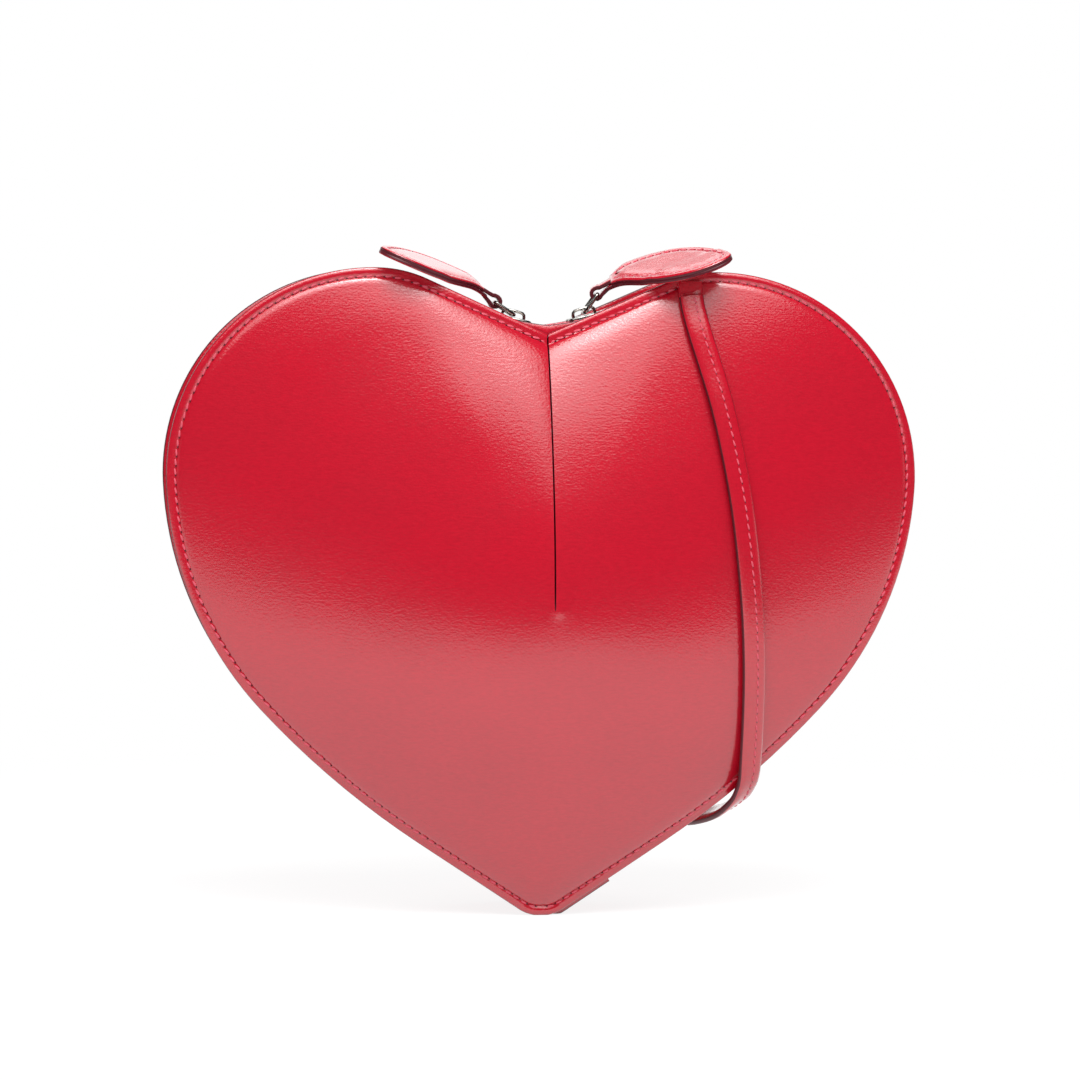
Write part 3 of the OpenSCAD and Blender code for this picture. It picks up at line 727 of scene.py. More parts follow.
class HeartBagSizes(bpy.types.PropertyGroup):
    leather: bpy.props.StringProperty(name="Leather", description="Colour of the leather", default="#CE122C")
    leather_shade: bpy.props.StringProperty(
        name="Leather grain", description="Colour in the leather's grain", default="#A90D24")
    edge: bpy.props.StringProperty(name="Edge paint", description="Colour of the painted edges", default="#5A1420")
    thread: bpy.props.StringProperty(name="Thread", description="Colour of the stitches", default="#E05468")
    nickel: bpy.props.StringProperty(name="Metal", description="Colour of the zip's metal", default="#9E9B96")
    lining: bpy.props.StringProperty(name="Lining", description="Colour of the lining", default="#A81A2C")
    lining_shade: bpy.props.StringProperty(
        name="Lining shade", description="Colour between the lining's threads", default="#7C0F1E")
    tape: bpy.props.StringProperty(name="Zip tape", description="Colour of the zip tape", default="#B01226")
    tape_shade: bpy.props.StringProperty(
        name="Zip tape shade", description="Colour between the tape's threads", default="#7E0B1A")
    stitch_pitch: FloatProperty(
        name="Stitch pitch", description="Distance between stitches in millimetres", default=2.7, min=2, max=4)
    stitch_inset: FloatProperty(
        name="Stitch inset", description="Distance of the stitches from the edge in millimetres",
        default=2.4, min=2, max=4)
    dart_depth: FloatProperty(
        name="Dart depth", description="Depth of the crease beside the dart in millimetres", default=0.6, min=0, max=4)


def sizes_now(context):
    return context.scene.heart_bag


# Camera, light and floor

CAMERA_AZIMUTH, CAMERA_RISE, CAMERA_ROLL = -8.155, 3.15, 0.671
CAMERA_AWAY, CAMERA_VIEW_W = 1.0369, 0.31086
CAMERA_AIM = (-0.00187, -0.016, 0.10911)
CAMERA_SENSOR = 36


class HEARTBAG_OT_camera(bpy.types.Operator):
    """Put the camera at the photograph's viewing angle"""

    bl_idname = "heartbag.camera"
    bl_label = "Camera"

    def execute(self, context):
        data = bpy.data.cameras.new("camera")
        data.sensor_width = CAMERA_SENSOR
        data.lens = CAMERA_SENSOR * CAMERA_AWAY / CAMERA_VIEW_W
        data.clip_start, data.clip_end = 0.05, 30
        camera = bpy.data.objects.new("camera", data)
        a, e = math.radians(CAMERA_AZIMUTH), math.radians(CAMERA_RISE)
        back = Vector((math.sin(a) * math.cos(e), -math.cos(a) * math.cos(e), math.sin(e)))
        turn = back.to_track_quat("Z", "Y").to_matrix().to_4x4()
        roll = Matrix.Rotation(math.radians(CAMERA_ROLL), 4, "Z")
        camera.matrix_world = Matrix.Translation(Vector(CAMERA_AIM) + back * CAMERA_AWAY) @ turn @ roll
        context.scene.collection.objects.link(camera)
        context.scene.camera = camera
        return {"FINISHED"}


LAMPS = (
    # name, place, aim, width, height, power: one large window in three layers, brightest in its middle
    ("window_edge", (-0.05, -0.72, 1.02), (0, 0, 0.1), 1.4, 0.8, 5.6),
    ("window", (0, -0.6, 1.13), (0, 0, 0.1), 0.95, 0.6, 5.5),
    ("window_middle", (0.04, -0.48, 1.21), (0, 0, 0.1), 0.45, 0.4, 5),
    ("back_window", (0.1, 0.75, 1.3), (0, 0, 0.12), 1.0, 0.7, 4),
)


class HEARTBAG_OT_stage(bpy.types.Operator):
    """Make the pale floor, the white background and the soft lamps"""

    bl_idname = "heartbag.stage"
    bl_label = "Floor and light"

    def execute(self, context):
        scene = context.scene
        scene.view_settings.view_transform = "Standard"
        self.floor(scene)
        self.lamps(scene)
        self.world(scene)
        return {"FINISHED"}

    def floor(self, scene):
        bm = bmesh.new()
        bmesh.ops.create_grid(bm, x_segments=8, y_segments=8, size=6)
        mesh = bpy.data.meshes.new("floor")
        bm.to_mesh(mesh)
        bm.free()
        material, tree = new_material("white_paper")
        material.cycles.emission_sampling = "NONE"
        fibre = add(tree, "ShaderNodeTexNoise", {"Vector": object_place(tree, (4, 4, 4)), "Scale": 1.0})
        tooth = add(tree, "ShaderNodeBump", {"Height": fibre.outputs["Fac"], "Strength": 0.03, "Distance": 0.0005})
        plain = add(tree, "ShaderNodeBsdfDiffuse", {"Color": (0.7, 0.7, 0.7, 1), "Normal": tooth.outputs["Normal"]})
        dim = add(tree, "ShaderNodeBsdfDiffuse", {"Color": (0.18, 0.18, 0.18, 1)})
        glow = add(tree, "ShaderNodeEmission", {"Color": (1, 1, 1, 1), "Strength": 0.86})
        near = add(tree, "ShaderNodeAddShader")
        tree.links.new(dim.outputs[0], near.inputs[0])
        tree.links.new(glow.outputs[0], near.inputs[1])
        place = add(tree, "ShaderNodeTexCoord")
        away = add(tree, "ShaderNodeVectorMath", {0: place.outputs["Object"]}, operation="LENGTH")
        far = add(tree, "ShaderNodeMapRange", {
            "Value": away.outputs["Value"], "From Min": 0.1, "From Max": 0.4}, interpolation_type="SMOOTHSTEP")
        white = add(tree, "ShaderNodeEmission", {"Color": (1, 1, 1, 1), "Strength": 1.0})
        paper = add(tree, "ShaderNodeMixShader", {0: far.outputs["Result"]})
        tree.links.new(near.outputs[0], paper.inputs[1])
        tree.links.new(white.outputs[0], paper.inputs[2])
        # What shines shows the paper's front edge and the dark room before it
        reach = add(tree, "ShaderNodeVectorMath", {0: place.outputs["Object"], 1: (0, 0.5, 0)}, operation="DISTANCE")
        beyond = add(tree, "ShaderNodeMapRange", {
            "Value": reach.outputs["Value"], "From Min": 0.82, "From Max": 1.25}, interpolation_type="SMOOTHSTEP")
        path = add(tree, "ShaderNodeLightPath")
        edge = add(tree, "ShaderNodeMath", {
            0: beyond.outputs["Result"], 1: path.outputs["Is Glossy Ray"]}, operation="MULTIPLY")
        room = add(tree, "ShaderNodeEmission", {"Color": (1, 1, 1, 1), "Strength": 0.05})
        shown = add(tree, "ShaderNodeMixShader", {0: edge.outputs["Value"]})
        tree.links.new(paper.outputs[0], shown.inputs[1])
        tree.links.new(room.outputs[0], shown.inputs[2])
        mixed = add(tree, "ShaderNodeMixShader", {0: seen_rays(tree)})
        tree.links.new(plain.outputs[0], mixed.inputs[1])
        tree.links.new(shown.outputs[0], mixed.inputs[2])
        add(tree, "ShaderNodeOutputMaterial", {"Surface": mixed.outputs[0]})
        mesh.materials.append(material)
        floor = bpy.data.objects.new("floor", mesh)
        scene.collection.objects.link(floor)
        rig.stage(floor)

    def lamps(self, scene):
        for name, place, aim, width, height, power in LAMPS:
            data = bpy.data.lights.new(name, "AREA")
            data.shape, data.size, data.size_y, data.energy = "RECTANGLE", width, height, power
            lamp = bpy.data.objects.new(name, data)
            back = Vector(place) - Vector(aim)
            turn = back.to_track_quat("Z", "Y").to_matrix().to_4x4()
            lamp.matrix_world = Matrix.Translation(place) @ turn
            scene.collection.objects.link(lamp)

    def world(self, scene):
        world = bpy.data.worlds.new("studio")
        scene.world = world
        world.use_nodes = True
        # The world and the floor differ by kind of ray, which holds only where rays find them unaided
        world.cycles.sampling_method = "NONE"
        tree = world.node_tree
        tree.nodes.clear()
        ray = add(tree, "ShaderNodeTexCoord")
        height = add(tree, "ShaderNodeSeparateXYZ", {"Vector": ray.outputs["Generated"]})
        # The white backdrop stands behind and beside the bag, and the room before it is dark
        low = add(tree, "ShaderNodeMapRange", {
            "Value": height.outputs["Z"], "From Min": 0.0, "From Max": 0.16, "To Min": 1.0, "To Max": 0.01})
        behind = add(tree, "ShaderNodeMapRange", {
            "Value": height.outputs["Y"], "From Min": -0.6, "From Max": 0.0, "To Min": 0.0, "To Max": 1.0})
        room = add(tree, "ShaderNodeMath", {0: low.outputs["Result"], 1: behind.outputs["Result"]}, operation="MULTIPLY")
        wall = add(tree, "ShaderNodeMapRange", {
            "Value": height.outputs["Y"], "From Min": 0.3, "From Max": 0.7, "To Min": 0.0, "To Max": 1.2})
        wall_top = add(tree, "ShaderNodeMapRange", {
            "Value": height.outputs["Z"], "From Min": 0.45, "From Max": 0.8, "To Min": 1.0, "To Max": 0.0})
        backdrop = add(tree, "ShaderNodeMath", {
            0: wall.outputs["Result"], 1: wall_top.outputs["Result"]}, operation="MULTIPLY")
        room = add(tree, "ShaderNodeMath", {0: room.outputs["Value"], 1: backdrop.outputs["Value"]}, operation="MAXIMUM")
        path = add(tree, "ShaderNodeLightPath")
        shiny = add(tree, "ShaderNodeMath", {
            0: path.outputs["Is Glossy Ray"], 1: path.outputs["Is Transmission Ray"]}, operation="MAXIMUM")
        soft = add(tree, "ShaderNodeBackground", {"Color": (1, 1, 1, 1), "Strength": 0.45})
        mirrored = add(tree, "ShaderNodeBackground", {"Color": (1, 1, 1, 1), "Strength": room.outputs["Value"]})
        white = add(tree, "ShaderNodeBackground", {"Color": (1, 1, 1, 1), "Strength": 1.0})
        first = add(tree, "ShaderNodeMixShader", {0: shiny.outputs["Value"]})
        tree.links.new(soft.outputs[0], first.inputs[1])
        tree.links.new(mirrored.outputs[0], first.inputs[2])
        last = add(tree, "ShaderNodeMixShader", {0: path.outputs["Is Camera Ray"]})
        tree.links.new(first.outputs[0], last.inputs[1])
        tree.links.new(white.outputs[0], last.inputs[2])
        add(tree, "ShaderNodeOutputWorld", {"Surface": last.outputs[0]})


def seen_rays(tree):
    """1 for what the camera sees itself, in metal or through glass."""
    path = add(tree, "ShaderNodeLightPath")
    shiny = add(tree, "ShaderNodeMath", {
        0: path.outputs["Is Glossy Ray"], 1: path.outputs["Is Transmission Ray"]}, operation="MAXIMUM")
    seen = add(tree, "ShaderNodeMath", {
        0: shiny.outputs["Value"], 1: path.outputs["Is Camera Ray"]}, operation="MAXIMUM")
    return seen.outputs["Value"]


# Strap: a place and the direction its outer face looks, in metres as a route

FRONT_ROUTE = (
    (0.041, -0.0178, 0.1796, 0, -0.96, 0.28), (0.0416, -0.0189, 0.1756, 0, -0.96, 0.27),
    (0.0432, -0.0208, 0.169, 0, -0.97, 0.25), (0.0463, -0.0229, 0.1585, 0.05, -0.97, 0.22),
    (0.0492, -0.025, 0.148, 0.1, -0.98, 0.18), (0.0522, -0.0268, 0.134, 0.16, -0.97, 0.15),
    (0.0548, -0.0282, 0.119, 0.2, -0.97, 0.1), (0.0568, -0.0287, 0.103, 0.23, -0.97, 0.04),
    (0.0584, -0.0281, 0.087, 0.25, -0.97, -0.05), (0.0594, -0.0261, 0.071, 0.27, -0.95, -0.15),
    (0.0599, -0.0228, 0.057, 0.29, -0.92, -0.26), (0.0601, -0.0197, 0.0465, 0.31, -0.89, -0.34),
    (0.06, -0.0177, 0.0404, 0.4, -0.8, -0.45), (0.0594, -0.0154, 0.0368, 0.45, -0.68, -0.58),
)
UNDER_ROUTE = (
    (0.0582, -0.012, 0.0334, 0.5, -0.5, -0.7), (0.055, -0.005, 0.0293, 0.6, -0.15, -0.77),
    (0.0515, 0.004, 0.0266, 0.62, 0.1, -0.78), (0.0478, 0.0125, 0.0253, 0.5, 0.35, -0.75),
    (0.0426, 0.0204, 0.0274, 0.25, 0.4, -0.85), (0.0355, 0.0276, 0.031, 0.1, 0.35, -0.92),
    (0.0265, 0.034, 0.035, 0, 0.2, -0.98), (0.0165, 0.039, 0.0376, 0, 0.1, -1),
)
RISE_ROUTE = (
    (-0.0105, 0.0478, 0.144, -0.9, 0.4, 0.1), (-0.0155, 0.0445, 0.153, -0.7, 0.7, 0.2),
    (-0.0225, 0.0385, 0.162, -0.4, 0.9, 0.2), (-0.03, 0.0305, 0.1705, -0.2, 0.96, 0.2),
    (-0.037, 0.0225, 0.177, 0, 1, 0.2), (-0.0403, 0.0185, 0.179, 0, 0.96, 0.28),
    (-0.041, 0.0178, 0.18, 0, 0.96, 0.28),
)
HANK_PLACE, HANK_RUN, HANK_R = (6, 40.7, 92), 35, 18.2
HANK_STEP, HANK_LAYER, HANK_WAIST, WAIST_TURN, HANK_LOOPS, HANK_TURN = 2.8, 7.6, 7, 35, 3.3, 540
STRAP_W, STRAP_T = 7, 2.2


def hank_at(turned):
    """A place on the hank of spare strap, drawn in at its waist."""
    if turned < HANK_TURN - 90:
        depth = 0
    elif turned > HANK_TURN + 90:
        depth = 1
    else:
        depth = (1 - math.cos(math.radians(turned - HANK_TURN + 90))) / 2
    t = math.radians(-90 - turned)
    r = HANK_R - HANK_STEP * (HANK_TURN - abs(turned - HANK_TURN)) / 360
    waist = max(0, 1 - (math.sin(t) / math.sin(math.radians(WAIST_TURN))) ** 2)
    run = HANK_RUN * min(1, max(-1, 3 * math.sin(t)))
    pull = math.copysign(HANK_WAIST * waist, math.cos(t)) if waist else 0
    return (
        Vector((HANK_PLACE[0] + r * math.cos(t) - pull, HANK_PLACE[1] + HANK_LAYER * depth,
                HANK_PLACE[2] + r * math.sin(t) + run)),
        Vector((math.cos(t), 0, math.sin(t))),
    )


def strap_route():
    """Places along the whole strap with the direction that its outer face looks."""
    hand = lambda rows: [(Vector(r[:3]) / MM, Vector(r[3:])) for r in rows]
    hank = [hank_at(15 * i) for i in range(int(HANK_LOOPS * 24) + 1)]
    return hand(FRONT_ROUTE) + hand(UNDER_ROUTE) + hank + hand(RISE_ROUTE)


def curved(rows, steps):
    """More places between those of a route, on one smooth curve."""
    out = []
    for i in range(len(rows) - 1):
        around = [rows[min(max(i + k, 0), len(rows) - 1)] for k in (-1, 0, 1, 2)]
        for k in range(steps):
            t = k / steps
            weights = (
                (-t + 2 * t**2 - t**3) / 2, (2 - 5 * t**2 + 3 * t**3) / 2,
                (t + 4 * t**2 - 3 * t**3) / 2, (-(t**2) + t**3) / 2,
            )
            out.append(tuple(
                sum((row[part] * w for row, w in zip(around, weights)), Vector((0, 0, 0))) for part in (0, 1)))
    return out + [rows[-1]]


def strap_frames(rows):
    """A place, a way along, a way across and a way out for each point of the strap."""
    frames = []
    for i, (at, out) in enumerate(rows):
        along = (rows[min(i + 1, len(rows) - 1)][0] - rows[max(i - 1, 0)][0]).normalized()
        across = along.cross(out).normalized()
        frames.append((at, along, across, across.cross(along).normalized()))
    return frames


def strap_section():
    """Half round painted edges and a face crowned by a tenth of a millimetre."""
    w, t = STRAP_W / 2, STRAP_T / 2
    side = ((w - 0.25, t - 0.35), (w, 0.3), (w, -0.3), (w - 0.25, 0.35 - t))
    faces = ((w - 1.0, t - 0.02), (w * 0.35, t), (-w * 0.35, t), (1.0 - w, t - 0.02))
    upper = [(x, y) for x, y in faces]
    left = [(-x, y) for x, y in side]
    lower = [(x, -y) for x, y in reversed(upper)]
    right = [(x, y) for x, y in reversed(side)]
    return upper + left + lower + right


class HEARTBAG_OT_strap(bpy.types.Operator):
    """Make the strap with its stitches, its sewn ends and the keeper round the spare length"""

    bl_idname = "heartbag.strap"
    bl_label = "Strap"

    def execute(self, context):
        rows = curved(strap_route(), 3)
        frames = strap_frames(rows)
        section = strap_section()
        bm = bmesh.new()
        rings = [[at + across * x + out * y for x, y in section] for at, along, across, out in frames]
        marks = [0] * 3 + [0, 1, 1, 1, 0] + [0] * 3 + [0, 1, 1, 1, 0]
        loft(bm, rings, marks)
        strap = finish_piece("strap", bm, leather_set(), None, "red_leather", 60)
        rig.blend(strap, "back_half", "front_half", start=STRAP_OPEN_START, end=STRAP_OPEN_END)
        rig.replaces(strap, "strap_front", "strap_under", "strap_hank", "strap_rise")
        stitches = self.stitches(frames, sizes_now(context))
        keeper = self.keeper()
        self.ends()
        length = sum((b[0] - a[0]).length for a, b in zip(rows, rows[1:])) * MM
        print("strap length", round(length, 4))
        path = [tuple(at * MM) for at, out in rows]
        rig.cord(
            strap, exit=FRONT_ROUTE[0][:3], length=round(length, 3), diameter=STRAP_D, far_end="object",
            stiffness="limp", lay="hanging", path=path, with_pieces=[stitches, keeper],
        )
        return {"FINISHED"}

    def stitches(self, frames, sizes):
        line = [at + out * (STRAP_T / 2 + 0.02) - across * 0.7 for at, along, across, out in frames]
        stitches, k = [], 0
        for at, along in spaced(line, sizes.stitch_pitch):
            while k < len(line) - 2 and (line[k + 1] - at).length < (line[k] - at).length:
                k += 1
            stitches.append(stitch(at, along, frames[k][3], sizes.stitch_pitch * 0.72, 0.55, 8))
        piece = sew("strap_stitches", stitches, None)
        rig.blend(piece, "back_half", "front_half", start=STRAP_OPEN_START, end=STRAP_OPEN_END)
        return piece

    def keeper(self):
        low, high = (Vector(c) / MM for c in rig.box("keeper"))
        bm = bmesh.new()
        t = 1.2
        turn = 2.2
        outer = (high - low) / 2
        centre = (high + low) / 2
        rings = []
        count = 48
        for k in range(count + 1):
            pass
        section = ((0, -0.5), (0, 0.5), (1, 0.5), (1, -0.5))
        loop = rounded_loop(outer.x, outer.y, turn, 6)
        inner = rounded_loop(outer.x - t, outer.y - t, turn - t + 0.3, 6)
        height = high.z - low.z
        rings = [
            [Vector((centre.x + p.x, centre.y + p.y, z)) for p in ring]
            for ring, z in ((inner, low.z), (loop, low.z), (loop, high.z), (inner, high.z), (inner, low.z))
        ]
        closed_loft(bm, rings[:-1])
        round_edges(bm, 0.3, 2, 40)
        for f in bm.faces:
            f.material_index = 1 if abs(f.normal.z) > 0.8 else 0
        piece = finish_piece("keeper_band", bm, leather_set(), "back_half", "red_leather")
        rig.replaces(piece, "keeper")
        return piece

    def ends(self):
        for node, name in (("strap_end_front", "strap_tongue_front"), ("strap_end_back", "strap_tongue_back")):
            bm = bare_copy(node)
            round_edges(bm, 0.25)
            piece = finish_piece(name, bm, leather_set(), None, "red_leather")
            if node.endswith("front"):
                piece = open_with_mouth(piece, weld=False)
            else:
                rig.ride(piece, "back_half")
            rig.replaces(piece, node)


STRAP_D = 0.007
STRAP_OPEN_START, STRAP_OPEN_END = (0.0, -0.018, 0.1322), (0.0, -0.1139, 0.2037)


def rounded_loop(half_x, half_y, radius, count):
    """A rectangle with round corners, as a loop of points."""
    points = []
    for turn, (sx, sy) in enumerate(((1, 1), (-1, 1), (-1, -1), (1, -1))):
        centre = Vector((sx * (half_x - radius), sy * (half_y - radius)))
        points += [centre + radius * polar(90 * turn + 90 * i / count) for i in range(count + 1)]
    return points


def closed_loft(bm, rings):
    """Draw a closed loop through a closed row of places, as for a ring."""
    order = bm.verts.layers.int.get("order") or bm.verts.layers.int.new("order")
    count = len(rings[0])
    verts = [bm.verts.new(p) for p in rings[0]]
    for i, v in enumerate(verts):
        v[order] = i
    edges = [bm.edges.new((verts[i], verts[(i + 1) % count])) for i in range(count)]
    first = edges
    for ring in rings[1:]:
        drawn = bmesh.ops.extrude_edge_only(bm, edges=edges)["geom"]
        edges = [g for g in drawn if isinstance(g, bmesh.types.BMEdge) and g.is_boundary]
        for g in drawn:
            if isinstance(g, bmesh.types.BMVert):
                g.co = ring[g[order]]
    bmesh.ops.bridge_loops(bm, edges=first + edges)


# Panels

OUTER_INSETS = ((0, 0.45), (0.1, 0.15), (0.45, -0.08), (1, -0.25), (1.6, -0.3), (2.1, -0.15), (2.5, 0.1),
                (2.8, 0.3), (3.1, 0.12), (3.6, 0), (4.8, 0), (6.2, 0))
DOME_SHARES = (0.9, 0.87, 0.84, 0.81, 0.78, 0.74, 0.7, 0.66, 0.62, 0.58, 0.54, 0.5, 0.46, 0.42, 0.38, 0.34, 0.3,
               0.26, 0.22, 0.18, 0.14, 0.1, 0.06, 0.025)


def flat_ring(points, under):
    """A ring of the outline with the depth under the face kept in its y."""
    return [Vector((p.x, under, p.y)) for p in points]


class HEARTBAG_OT_panels(bpy.types.Operator):
    """Make the two domed leather panels with their darts, painted edges and stitches"""

    bl_idname = "heartbag.panels"
    bl_label = "Panels"

    def execute(self, context):
        sizes = sizes_now(context)
        for side, name in ((-1, "front"), (1, "back")):
            panel = self.panel(side, f"{name}_panel_leather", sizes)
            stitches = self.stitches(side, f"{name}_panel_stitches", sizes)
            if side < 0:
                panel = open_with_mouth(panel)
                stitches = open_with_mouth(stitches, weld=False)
            else:
                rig.ride(panel, "back_half")
                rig.ride(stitches, "back_half")
            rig.replaces(panel, f"{name}_panel")
        return {"FINISHED"}

    def panel(self, side, name, sizes):
        bm = bmesh.new()
        rim = whole(rim_half(0))
        rings = [flat_ring([drawn_in(p, s) for p in rim], LEATHER_T) for s in reversed(DOME_SHARES)]
        rings += [flat_ring(whole(rim_half(inset)), LEATHER_T) for inset in (4.8, 0.3)]
        rings += [flat_ring(rim, LEATHER_T - 0.25)]
        rings += [flat_ring(whole(rim_half(inset)), under) for inset, under in OUTER_INSETS]
        rings += [flat_ring([drawn_in(p, s) for p in rim], 0) for s in DOME_SHARES]
        loft(bm, rings)
        poles = [f for f in bm.faces if len(f.verts) > 50]
        bmesh.ops.poke(bm, faces=poles)
        for x in (0, -SLIT_HALF, SLIT_HALF, -0.6, 0.6, -1.4, 1.4, -3, 3, -6, 6):
            near = [
                f for f in bm.faces
                if f.calc_center_median().z > DART_END - 5 and min(abs(v.co.x) for v in f.verts) < 9
                and f.calc_center_median().y < LEATHER_T / 2
            ]
            parts = list({v for f in near for v in f.verts} | {e for f in near for e in f.edges} | set(near))
            bmesh.ops.bisect_plane(bm, geom=parts, dist=1e-5, plane_co=(x, 0, 0), plane_no=(1, 0, 0))
        for f in bm.faces:
            middle = f.calc_center_median()
            rim_side = middle.y > 0.05 and share_at(middle.x, middle.z) > 0.992
            inner = middle.y > LEATHER_T - 0.3
            slit = abs(middle.x) < SLIT_HALF and middle.z > DART_END and middle.y < 0.5
            f.material_index = 1 if (rim_side or slit) and not (inner and not rim_side) else 0
        for v in bm.verts:
            deep = v.co.y > LEATHER_T / 2
            v.co = face(v.co.x, v.co.z, side, v.co.y, 0 if deep else sizes.dart_depth)
        return finish_piece(name, bm, leather_set(), None, "red_leather", 50)

    def stitches(self, side, name, sizes):
        stitches = []
        half = rim_half(sizes.stitch_inset)
        for mirrored in (1, -1):
            line = [face(mirrored * p.x, p.y, side, 0.1, 0) for p in half]
            for at, along in spaced(line, sizes.stitch_pitch):
                normal = face_normal(at.x, at.z, side)
                stitches.append(stitch(at, along, normal, sizes.stitch_pitch * 0.84, 0.75, 14 * mirrored * side))
        return sew(name, stitches, None)


# Gusset


def gusset_stations(last_z, count_valley=26, count_shoulder=44):
    """Places on the zip's line on the right, each with its way out and its distance to the rim."""
    line = [VALLEY_C + VALLEY_R * polar(VALLEY_START - 90)]
    line += arc(VALLEY_C, VALLEY_R, VALLEY_START - 90, VALLEY_TURN - 90, count_valley)
    end = math.degrees(math.asin((last_z - SHOULDER_C.y) / ZIP_R))
    line += arc(SHOULDER_C, ZIP_R, 90 + VALLEY_TURN, end, count_shoulder)
    out = [polar(VALLEY_START + (VALLEY_TURN - VALLEY_START) * i / count_valley + 90) for i in range(count_valley + 1)]
    out += [(p - SHOULDER_C).normalized() for p in line[count_valley + 1:]]
    out[0] = Vector((0, 1))
    return [(p, n, rim_reach(p, n)) for p, n in zip(line, out)]


def rim_reach(p, n):
    """Distance from a place to the rim along a direction."""
    best = None
    for a, b in zip(RIM, RIM[1:] + RIM[:1]):
        edge = b - a
        cross = n.cross(edge)
        if abs(cross) < 1e-9:
            continue
        t = (a - p).cross(edge) / cross
        u = (a - p).cross(n) / cross
        if -1e-6 <= u <= 1 + 1e-6 and (best is None or abs(t) < abs(best)):
            best = t
    return best


def in_section(stations, section, mirror=1, side=1):
    """Rings of a section, given as depth from the middle and height over the gusset's line."""
    rings = []
    for p, n, reach in stations:
        ring = []
        for y, t in section(reach):
            q = p + n * t
            x = max(q.x, 0) if p.x >= 0 else q.x
            ring.append(Vector((mirror * x, side * y, max(q.y, 0))))
        rings.append(ring)
    return rings


def strip_section(reach):
    """Web beside the zip with a turned edge, and a flange up to the rim."""
    low = min(-GUSSET_T, reach - 1.5)
    reach = max(reach, 0.12)
    return [
        (STRIP_GAP + 0.35, 0), (STRIP_GAP, -0.3), (STRIP_GAP, -0.9), (STRIP_GAP + 0.35, -GUSSET_T),
        (HALF_W - GUSSET_T - 0.1, -GUSSET_T), (HALF_W - GUSSET_T, low),
        (HALF_W - 0.5, low), (HALF_W - 0.1, low + 0.2), (HALF_W, low + 0.6),
        (HALF_W, reach - 0.25), (HALF_W - 0.25, reach), (HALF_W - GUSSET_T + 0.25, reach),
        (HALF_W - GUSSET_T, max(reach - 0.25, 0.08)), (HALF_W - GUSSET_T, min(0.7, max(reach - 0.3, 0.05))),
        (HALF_W - GUSSET_T - 0.2, min(0.2, reach / 4)), (HALF_W - GUSSET_T - 0.7, 0),
    ]


STRIP_MARKS = [0, 1, 0, 0, 0, 0, 0, 0, 0, 1, 1, 1, 0, 0, 0, 0]


def lower_stations(first_z, last_x):
    """Places on the gusset's line under the zip, on the right, down to a distance from the middle."""
    start = math.degrees(math.asin((first_z - SHOULDER_C.y) / ZIP_R))
    line = [SHOULDER_C + ZIP_R * polar(start)]
    line += arc(SHOULDER_C, ZIP_R, start, SHOULDER_A, 2)
    line += arc(SIDE_C, SIDE_R - SEAM_H, SHOULDER_A, SIDE_A, 24)
    line += arc(HIP_C, HIP_R - SEAM_H, SIDE_A, HIP_A, 14)
    line += arc(TIP_C, TIP_R - SEAM_H, HIP_A, -90, 14)
    normals = [(line[i + 1] - line[i - 1]).normalized() for i in range(1, len(line) - 1)]
    normals = [Vector((-d.y, d.x)) for d in [normals[0]] + normals + [Vector((-1, 0))]]
    stations = [(p, n if n.dot(p - DOME_C) > 0 else -n, SEAM_H) for p, n in zip(line, normals)]
    return [s for s in stations if s[0].x >= last_x]


def band_section(half, low, high, lift=0):
    """Web across the whole width with a flange on both seams."""

    def section(reach):
        top, t = reach + high, GUSSET_T
        right = [(half, top - 0.25), (half - 0.25, top), (half - t + 0.25, top), (half - t, top - 0.25),
                 (half - t, low + t + 0.7), (half - t - 0.2, low + t + 0.2), (half - t - 0.7, low + t)]
        left = [(-y, z) for y, z in reversed(right)]
        return [(-half + 0.5, low), (half - 0.5, low), (half, low + 0.5)] + right + left + [(-half, low + 0.5)]

    return section


BAND_MARKS = [0, 0, 0, 1, 1, 1, 0, 0, 0, 0, 0, 0, 0, 1, 1, 1, 0, 0]


